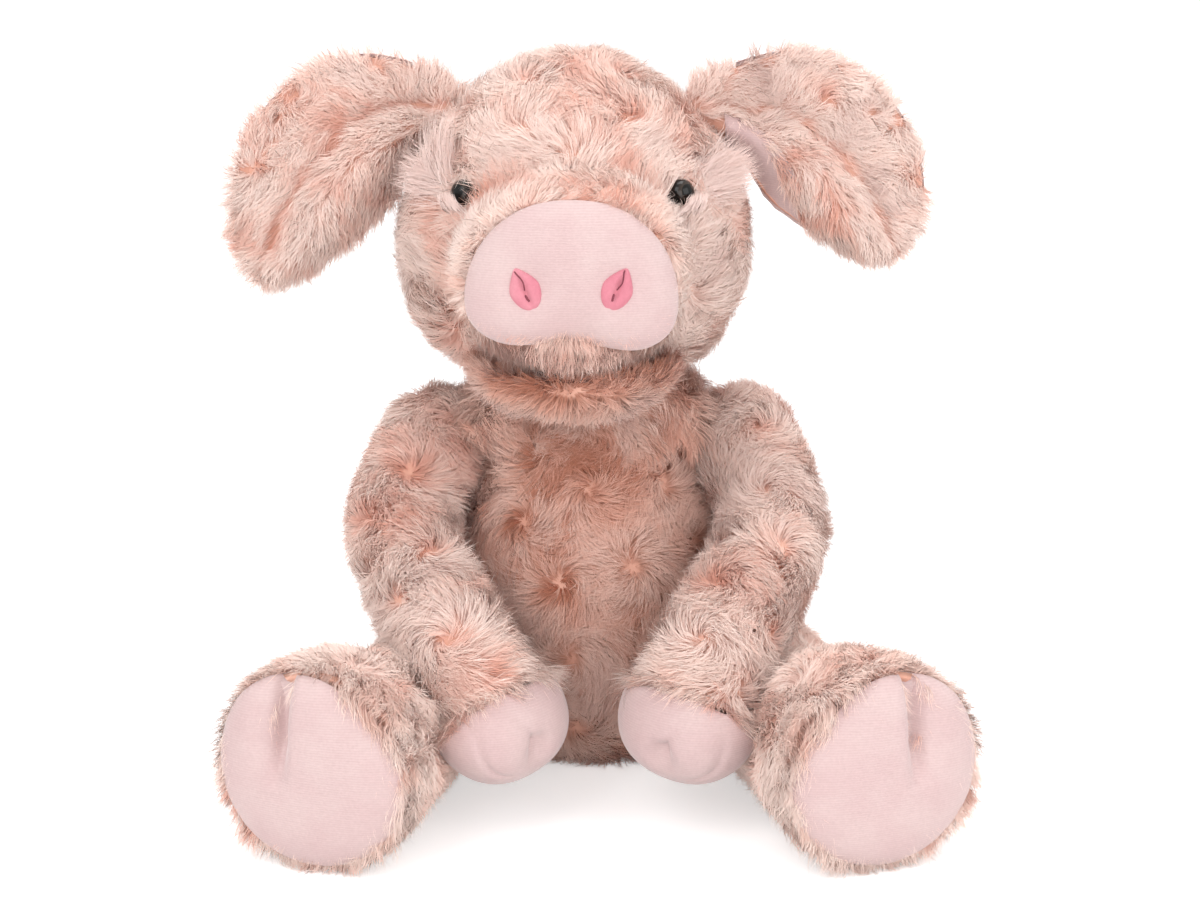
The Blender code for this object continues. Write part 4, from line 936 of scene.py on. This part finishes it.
def build_snout():
    def height(flat, share):
        crown = SNOUT_CROWN * np.sqrt(np.maximum(1 - share**2.5, 0))
        for way in (-1, 1):
            crown = crown + dent(flat, (way * 0.017, -0.001), 0.008, 0.0028)
        crown = crown - 0.003 * bell(flat[:, 0] / 0.007) * share_of(-flat[:, 1] / 0.028)
        fold = flat[:, 1] - 0.0175 - 0.45 * (flat[:, 0] + 0.018)
        return crown - 0.0005 * bell(fold / 0.0012) * bell((flat[:, 0] + 0.020) / 0.010)

    outline = bean(*SNOUT_SIZE, notch=0.20, dip=0.025, notch_deg=22.0, low=0.27, square=2.7)
    low = outline[:, 1] < 0
    outline[low, 1] *= 1 + 0.07 * outline[low, 0] / SNOUT_SIZE[0]
    origin = MUZZLE_CENTRE + FORWARD * (MUZZLE_FRONT + FIT_GAP) + DOWN * 0.001
    snout = pad(outline, height, frame_facing(origin, FORWARD), rows=40)
    add_piece("snout_pad", snout, "head", "velour", VELOUR, ("snout",), 0.7)
    for side, (_, way) in SIDES.items():
        tilt = math.radians(24.0) * way
        turn = np.array(((math.cos(tilt), -math.sin(tilt)), (math.sin(tilt), math.cos(tilt))))
        turns = 2 * np.pi * np.arange(48) / 48
        narrow = 1 - 0.6 * np.maximum(np.sin(turns), 0)**1.3
        shape = np.stack((0.0060 * np.cos(turns) * narrow, 0.0086 * np.sin(turns)), 1) @ turn
        middle = np.array((way * 0.0175, -0.003))

        def crown(flat, share):
            local = flat @ turn.T
            base = height(flat + middle, np.linalg.norm((flat + middle) / SNOUT_SIZE, axis=1))
            crease = -0.0016 * bell(local[:, 0] / 0.0011) * share_of(1.3 - np.abs(local[:, 1]) / 0.008)
            return base + 0.0026 * np.sqrt(np.maximum(1 - share**3, 0)) + crease - 0.0004

        start, axes = frame_facing(origin, FORWARD)
        start = start + axes @ (*middle, 0)
        nostril = pad(shape, crown, (start, axes), rows=22)
        add_piece(f"nostril_patch_{side}", nostril, "head", "nostril_pink", NOSTRIL, (f"nostril_{side}",), 0.4)
        # Dark threads along the crease and in the pinch below it: painted shade of the nostril's creases.
        for part, low, high, radius in (("crease", -0.0004, 0.0074, 0.00028),
                                        ("pinch", -0.0046, -0.0026, 0.00045)):
            run = np.linspace(low, high, 12)
            line = np.stack((0.0006 * np.sin(run * 600), run), 1) @ turn
            depth = crown(line, np.abs(run) / 0.0086) + 0.0001
            path = start + at_height(line, depth) @ axes.T
            thread = tube_form(np.hstack((path, np.full((12, 2), radius))), facets=8, domes=(3, 3))
            add_piece(f"nostril_{part}_{side}", thread, "head", "nostril_pink", CREASE_SHADE)

    # The mouth's pocket: a floor on the jaw and a wall behind it, both dark brown as painted shade inside the mouth;
    # the wall is a dark sheet that stands only for that shade
    middle = np.array((HEAD_CENTRE[0], JAW_CENTRE[1] - 0.0145, MOUTH_HEIGHT))
    floor = Form([ring_of(middle - UP * drop, (1, 0, 0), (0, 1, 0), 0.025, 0.017, 48)
                  for drop in (0.0006, -0.0004)])
    add_piece("mouth_floor", floor, "head", "mouth_lining", LINING_SHADE, ("mouth_lining",), 0.3)
    wall = Form([ring_of(middle + (0, back, 0.006), (1, 0, 0), UP, 0.022, 0.0085, 48)
                 for back in (0.001, 0.016)])
    add_piece("mouth_shade_wall", wall, "head", "mouth_lining", LINING_SHADE, (), 0.3)


def eye_material():
    surface, tree, shader = new_material("eye gloss", 0.12)
    rings = ramp(tree, uv_parts(tree)["Y"], (0.0, 0.50, 0.58, 0.74, 0.84),
                 map(rgb, "0c0a09 0c0a09 3a302a 2a221e 0c0a09".split()))
    feed(tree, shader, {"Specular IOR Level": 0.3, "Base Color": rings})
    return surface


def build_eyes():
    gloss = eye_material()
    rows, facets = 16, 40
    for side in SIDES:
        place, normal = eye_place(side)
        place = place - normal * EYE_SINK
        _, axes = frame_facing(place, normal)
        outline = [(SHANK_RADIUS, -SHANK_LENGTH), (SHANK_RADIUS, -0.0035), (EYE_RADIUS, -0.0025)]
        outline += [(EYE_RADIUS * math.cos(angle), 0.0006 + EYE_DOME * math.sin(angle))
                    for angle in np.pi / 2 * np.arange(rows) / rows]
        rings = [place + at_height(bean(radius, radius, facets), height) @ axes.T for radius, height in outline]
        form = Form(rings, place - normal * SHANK_LENGTH, place + normal * (0.0006 + EYE_DOME))
        eye = make_mesh(f"eye_bead_{side}", form.points, form.tris)
        local = (form.points - place) @ axes
        away = np.linalg.norm(local[:, :2], axis=1) / EYE_RADIUS
        away[local[:, 2] < 0.0005] = 1.0
        turn = np.arctan2(local[:, 1], local[:, 0]) / (2 * np.pi) + 0.5
        index = np.empty(len(eye.data.loops), np.int32)
        eye.data.loops.foreach_get("vertex_index", index)
        set_uv(eye.data, np.stack((turn[index], np.clip(away[index], 0.01, 0.99)), 1))
        dress(eye, "head", "eye_gloss", gloss, (f"eye_{side}",))


def arm_end(side):
    path = arms[side][:, :3]
    return path[-1], unit(path[-1] - path[-2])


def build_arm(side, name, way):
    path = arms[side][:, :3]
    steps = unit(np.gradient(path, axis=0))
    end, towards = arm_end(side)
    inward = np.array((-way, 0, 0.5))

    def past_end(points):
        return np.sum((points - end) * towards, axis=1)

    def near_end(points):
        return share_of(1 + past_end(points) / 0.012)

    def comb(points, normals):
        share = share_of(1 - np.linalg.norm(points - path[0], axis=1) / 0.034)[:, None]
        return (steps[nearest(points, path)] + DOWN * 0.15) * (1 - share) + inward * share

    def blocked(roots, guides):
        hidden = (past_end(roots) > -PILE + 0.0005) | (depth_in_torso(roots) > 0.012)
        return hidden | (depth_in_tube(roots, legs[side]) > 0.010)

    grow(f"arm_{side}", f"arm_{name}", tube_form(arms[side]), (f"arm_cover_{side}", f"arm_stuffing_{side}"),
         comb, FUR, blocked=blocked, tone_of=tone_limb, seed=100 + way,
         rise=lambda points: 1.0 - 0.35 * near_end(points),
         length=lambda points: PILE_LENGTH + 0.0045 * near_end(points),
         swirl=lambda points: np.clip(np.linalg.norm(points - end, axis=1) / 0.030 - 0.3, 0.1, 0.75))


def build_leg(side, name, way):
    hip, along = leg_axis(side)
    level = frame_facing(hip, along)[1][:, 0]

    def near_rim(points):
        return share_of(1 + past_leg(points, side) / 0.014)

    def blocked(roots, guides):
        past = past_leg(roots, side)
        at_cleft = (np.abs((roots - hip) @ level - way * CLEFT_OUT) < 0.0040) & (roots[:, 2] > hip[2])
        hidden = (past > -PILE + 0.0005) | (at_cleft & (past > -0.0095))
        return hidden | (depth_in_torso(roots) > 0.022) | (depth_in_tube(roots, arms[side]) > 0.010)

    nodes = (f"leg_cover_{side}", f"leg_stuffing_{side}")
    grow(f"leg_{side}", f"leg_{name}", tube_form(catmull(legs[side], 6)), nodes,
         lambda points, normals: along + DOWN * 0.25, FUR,
         blocked=blocked, tone_of=tone_foot, seed=130 + way, lit=along * 0.8,
         rise=lambda points: 1.0 + near_rim(points),
         length=lambda points: PILE_LENGTH + 0.0035 * near_rim(points),
         swirl=lambda points: np.clip(-past_leg(points, side) / 0.040, 0.1, 0.75))


def build_sole(side, name, way):
    """A tilted egg of velour with a soft cleft from its top edge, whose outer lobe lies a little lower."""
    hip, along = leg_axis(side)
    cleft = way * CLEFT_OUT

    def height(flat, share):
        crown = 0.011 * np.sqrt(np.maximum(1 - share**2.6, 0))
        out = (flat[:, 0] - cleft) * way
        run = share_of((flat[:, 1] + 0.006) / 0.018)
        return crown - (bell(out / 0.0032) * 0.0080 + bell((out - 0.0045) / 0.0065) * 0.0030) * run

    centre = hip + along * (LEG_LENGTH + FIT_GAP) + UP * (FOOT_RADIUS - HIP_RADIUS)
    outline = bean(RIM_RADIUS, RIM_RADIUS, facets=144)
    angle = np.arctan2(outline[:, 1], outline[:, 0] * way)
    swell = np.ones(len(outline))
    for heading, spread, change in SOLE_SWELLS:
        swell += change * bell(turn_between(angle, math.radians(heading)) / math.radians(spread))
    swell -= 0.06 * (bell((outline[:, 0] - cleft) / 0.0042) * (outline[:, 1] > 0))
    sole = pad(outline * swell[:, None], height, frame_facing(centre, along), rows=44)
    add_piece(f"sole_pad_{side}", sole, f"leg_{name}", "velour", VELOUR, (f"sole_{side}",), 0.7)


def build_hand(side, name, way):
    """A velour hoof cap with a faint round seam and a pinch beside it."""
    end, towards = arm_end(side)

    def height(flat, share):
        crown = 0.026 * np.sqrt(np.maximum(1 - share**2.4, 0))
        ring = np.linalg.norm(flat - (0.0155 * way, 0.010), axis=1) - 0.0105
        seam = -0.0018 * bell(ring / 0.0013) * share_of(share * 3 - 0.9)
        return crown + seam + dent(flat, (0.003 * way, 0.0115), 0.0055, 0.0065)

    hand = pad(bean(*HAND_SIZE), height, frame_facing(end + towards * FIT_GAP, towards), rows=32)
    add_piece(f"hoof_cap_{side}", hand, f"arm_{name}", "velour", VELOUR, (f"hand_{side}",), 0.75)


def build_limbs():
    for side, (name, way) in SIDES.items():
        for build in (build_arm, build_leg, build_sole, build_hand):
            build(side, name, way)


def velour_sheet(name, rings, *details):
    """A thin sheet from rings of (middle line, how far it bows, front and rear depth under that bow)."""
    rings = [np.vstack((flat - np.outer(bow - front, AFT), (flat - np.outer(bow - rear, AFT))[::-1]))
             for flat, bow, front, rear in rings]
    add_piece(name, Form(rings), *details)


def build_ear(side, name, way):
    steps = np.linspace(0, 1, EAR_STEPS)
    spine, spine_along, spine_across = (np.array(rows) for rows in zip(*(ear_station(side, t) for t in steps)))
    half_widths = EAR_WIDTH / 2 * np.interp(steps, EAR_ROWS[:, 0], EAR_ROWS[:, 1])

    def place_on(points):
        """The nearest step along the ear, and how far across it as a share of the half width."""
        near = nearest(points, spine)
        return near, np.sum((points - spine[near]) * spine_across[near], axis=1) / half_widths[near]

    def comb(points, normals):
        near, share = place_on(points)
        outward = np.where(share > EAR_CREASE, 0.35 + 0.9 * share, np.minimum(0.35 * (share + 0.3), -0.1))
        return spine_along[near] * 0.8 + spine_across[near] * outward[:, None]

    def tone_of(points):
        share = place_on(points)[1]
        strip = share_of(1 - np.abs(share + 0.35) / 0.45)
        tones = tone_limb(points) * (1 - 0.8 * strip) + 0.47 * 0.8 * strip
        # Towards salmon along the crease: painted shade in the fold.
        return tones + 0.30 * bell((share - EAR_CREASE) / 0.06)

    def blocked(roots, guides):
        near, share = place_on(roots)
        inner = (near > 1) & (near < EAR_STEPS - 2) & (np.abs(share) < 0.86)
        bare = (guides[:, 1, 1] - roots[:, 1] > 0.0008) & inner
        if side == "l":
            bare |= share < np.interp(near / (EAR_STEPS - 1), *EAR_BAND)
        return bare | (depth_in_head(roots) > 0.004)

    grow(f"ear_{side}", f"ear_{name}", ear_form(side), (f"ear_{side}",), comb, FUR, fill=0.4, inset=0.0022,
         blocked=blocked, length=0.0095, tone_of=tone_of, density=1.1, seed=160 + way,
         swirl=lambda points: np.clip(0.15 + (place_on(points)[1] - EAR_CREASE) * 1.2, 0.12, 0.60),
         rise=lambda points: 1.0 - 0.7 * bell((place_on(points)[1] - EAR_CREASE) / 0.10))

    if side == "l":
        rings = []
        for share in np.linspace(0.02, 0.86, 24):
            point, _, across = ear_station(side, share)
            wide, arch = (np.interp(share, EAR_ROWS[:, 0], EAR_ROWS[:, k]) for k in (1, 2))
            reach = np.linspace(-1.02, np.interp(share, *EAR_BAND) + 0.10, 12)
            lift = np.sqrt(np.maximum(1 - reach**2, 0))
            bow = EAR_THICKNESS / 2 * lift + EAR_ARCH * arch * lift**2 + ear_profile(reach) * np.sqrt(lift)
            rings.append((point + np.outer(reach * (EAR_WIDTH / 2 * wide), across), bow, 0.0006, 0.0030))
        velour_sheet(f"ear_band_{side}", rings, f"ear_{name}", "velour", VELOUR)

    rings = []
    turns = np.pi + np.pi * np.arange(25) / 24
    for share, wide, arch in catmull(EAR_ROWS, 5)[3:]:
        point, _, across = ear_station(side, share)
        flat = point + np.outer(np.cos(turns) * (EAR_WIDTH / 2 * wide), across)
        rings.append((flat, ear_bow(turns, wide, arch), 0.0003, 0.0021))
    velour_sheet(f"ear_velour_{side}", rings, f"ear_{name}", "velour", VELOUR, (f"ear_lining_{side}",), 0.2)


def build_ears():
    for side, (name, way) in SIDES.items():
        build_ear(side, name, way)


def build_brow(side, way, surface, rng):
    """The wisps of long pile beside an eye."""
    rows = np.array(TUFT_LOCKS[side])
    rows = rows[rng.choice(len(rows), TUFT_STRANDS, p=rows[:, 2])]
    fan = np.radians(rows[:, 0] + rng.normal(0, 0.6, TUFT_STRANDS) * rows[:, 1])
    size = rows[:, 3] * rng.uniform(0.55, 1.15, TUFT_STRANDS)
    places = [head_surface(way * (0.0480 + 0.010 * share), 0.022 + 0.0036 * spread)
              for share, spread in zip(rng.random(TUFT_STRANDS), rng.normal(0, 1, TUFT_STRANDS))]
    roots, ways = (np.array(rows) for rows in zip(*places))
    level = unit(np.cross(ways, UP)) * -way
    level = level * np.sign(np.sum(level * (way, 0, 0), axis=1, keepdims=True))
    up = unit(tangential(UP, ways))
    heading = up * np.cos(fan)[:, None] + level * np.sin(fan)[:, None]
    paths = [roots - ways * PILE]
    for lift in (0.95, 0.55, 0.30, 0.20):
        out = unit((paths[-1] - HEAD_CENTRE) / HEAD_SIZE**2)
        step = unit(unit(tangential(heading, out)) + out * lift + rng.normal(0, 0.09, (TUFT_STRANDS, 3)))
        paths.append(paths[-1] + step * (size / 4)[:, None])
    tuft = strand_mesh(f"tuft_{side}", np.stack(paths, 1), ways, 0.00007, 0.5, 210 + way)
    dress(tuft, "head", "long_pile", surface, (f"brow_tuft_{side}",))


def build_lashes(side, way, surface, rng):
    eye, normal = eye_place(side)
    _, axes = frame_facing(eye, normal)
    across = rng.uniform(-0.0060, 0.0060, LASHES)
    paths = []
    for reach, lift in ((-0.0088, -0.0025), (-0.0062, 0.0030), (-0.0038, 0.0056), (-0.0010, 0.0066)):
        drift = across * (1 - 0.08 * len(paths)) + rng.normal(0, 0.0003, LASHES) + way * 0.0007 * len(paths)
        reach = reach + rng.normal(0, 0.0006, LASHES) - 0.12 * np.abs(across)
        paths.append(eye + at_height(np.stack((drift, reach), 1), lift) @ axes.T)
    facing = np.broadcast_to(normal, (LASHES, 3))
    lash = strand_mesh(f"eye_fringe_{side}", np.stack(paths, 1), facing, 0.00014, 0.5, 230 + way)
    dress(lash, "head", "long_pile", surface)


def build_tufts():
    surface, _, shader = new_material("long pile", 0.6, sheen=0.2)
    shader.inputs["Base Color"].default_value = (*rgb("f6dcd4"), 1)
    for side, (_, way) in SIDES.items():
        rng = np.random.default_rng(200 + way)
        build_brow(side, way, surface, rng)
        build_lashes(side, way, surface, rng)


def build_neck():
    def blocked(roots, guides):
        return (roots[:, 2] < NECK_CENTRE[2]) | (depth_in_head(roots) > 0.006)

    # The neck's pile takes the darker belly ramp, shifted far towards taupe: painted shade under the chin.
    grow("neck", "neck", ellipsoid_form(NECK_CENTRE, np.full(3, NECK_RADIUS)), ("neck_wad",), comb_down, DEEP_FUR,
         skin_slot="filling", inset=0.004, blocked=blocked, swirl=0.4, length=0.008, tone_shift=-0.25, seed=220)


def build_tail():
    points = [TAIL_ROOT - (0, 0.008, 0), TAIL_ROOT, TAIL_ROOT + (0, 0.009, 0)]
    middle = points[-1] + UP * TAIL_COIL
    for share in np.arange(1, 37) / 36:
        angle = 2 * np.pi * TAIL_TURNS * share
        turned = TAIL_COIL * np.array((math.sin(angle), 0, -math.cos(angle)))
        points.append(middle + turned + (0, TAIL_ADVANCE * share, 0))
    radii = np.linspace(*TAIL_RADII, len(points))[:, None]
    form = tube_form(np.hstack((points, radii, radii)), facets=24, domes=(6, 6))
    add_piece("tail_velour", form, "tail", "velour", VELOUR, ("tail",), 0.8)


def seen_directly(tree, value):
    """A value for camera, glossy and transmission rays, and zero for all the others."""
    ray = add(tree, "ShaderNodeLightPath").outputs
    total = ray["Is Camera Ray"]
    for kind in ("Is Glossy Ray", "Is Transmission Ray"):
        total = add(tree, "ShaderNodeMath", {0: total, 1: ray[kind]}, operation="MAXIMUM").outputs["Value"]
    return add(tree, "ShaderNodeMath", {0: total, 1: value}, operation="MULTIPLY").outputs["Value"]


def build_studio():
    camera = bpy.data.cameras.new("camera")
    camera.lens, camera.sensor_width = CAMERA_LENS, CAMERA_SENSOR
    eye = link("camera", camera)
    eye.location = CAMERA_PLACE
    eye.rotation_euler = (math.radians(90.0 - CAMERA_TILT_DEG), 0, 0)
    bpy.context.scene.camera = eye
    bpy.context.scene.view_settings.view_transform = "Standard"

    corners = FLOOR_HALF * np.array(((-1, -1, 0), (1, -1, 0), (1, 1, 0), (-1, 1, 0)))
    floor = make_mesh("floor", corners, np.array(((0, 1, 2, 3),)))
    surface, tree, shader = new_material("floor", 0.9)
    feed(tree, shader, {"Base Color": (FLOOR_GREY,) * 3, "Emission Color": (1.0,) * 3,
                        "Emission Strength": seen_directly(tree, FLOOR_GLOW)})
    floor.data.materials.append(surface)

    world = bpy.data.worlds.new("studio")
    bpy.context.scene.world = world
    world.use_nodes = True
    tree = world.node_tree
    lighting = tree.nodes["Background"]
    feed(tree, lighting, {"Color": (1.0,) * 3, "Strength": WORLD_LEVEL})
    backdrop = add(tree, "ShaderNodeBackground", {"Color": (1.0,) * 3})
    choose = add(tree, "ShaderNodeMixShader", {
        "Fac": seen_directly(tree, 1.0), 1: lighting.outputs["Background"], 2: backdrop.outputs["Background"]})
    feed(tree, tree.nodes["World Output"], {"Surface": choose.outputs["Shader"]})
    for name, place, size, power in LAMPS:
        light = bpy.data.lights.new(name, "AREA")
        light.size, light.energy = size, power
        lamp = link(name, light)
        lamp.location = place
        lamp.rotation_euler = (LAMP_TARGET - Vector(place)).to_track_quat("-Z", "Y").to_euler()


build_studio()
build_torso()
build_neck()
build_head()
build_muzzle()
build_jaw()
build_lip()
build_snout()
build_eyes()
build_tufts()
build_ears()
build_limbs()
build_tail()
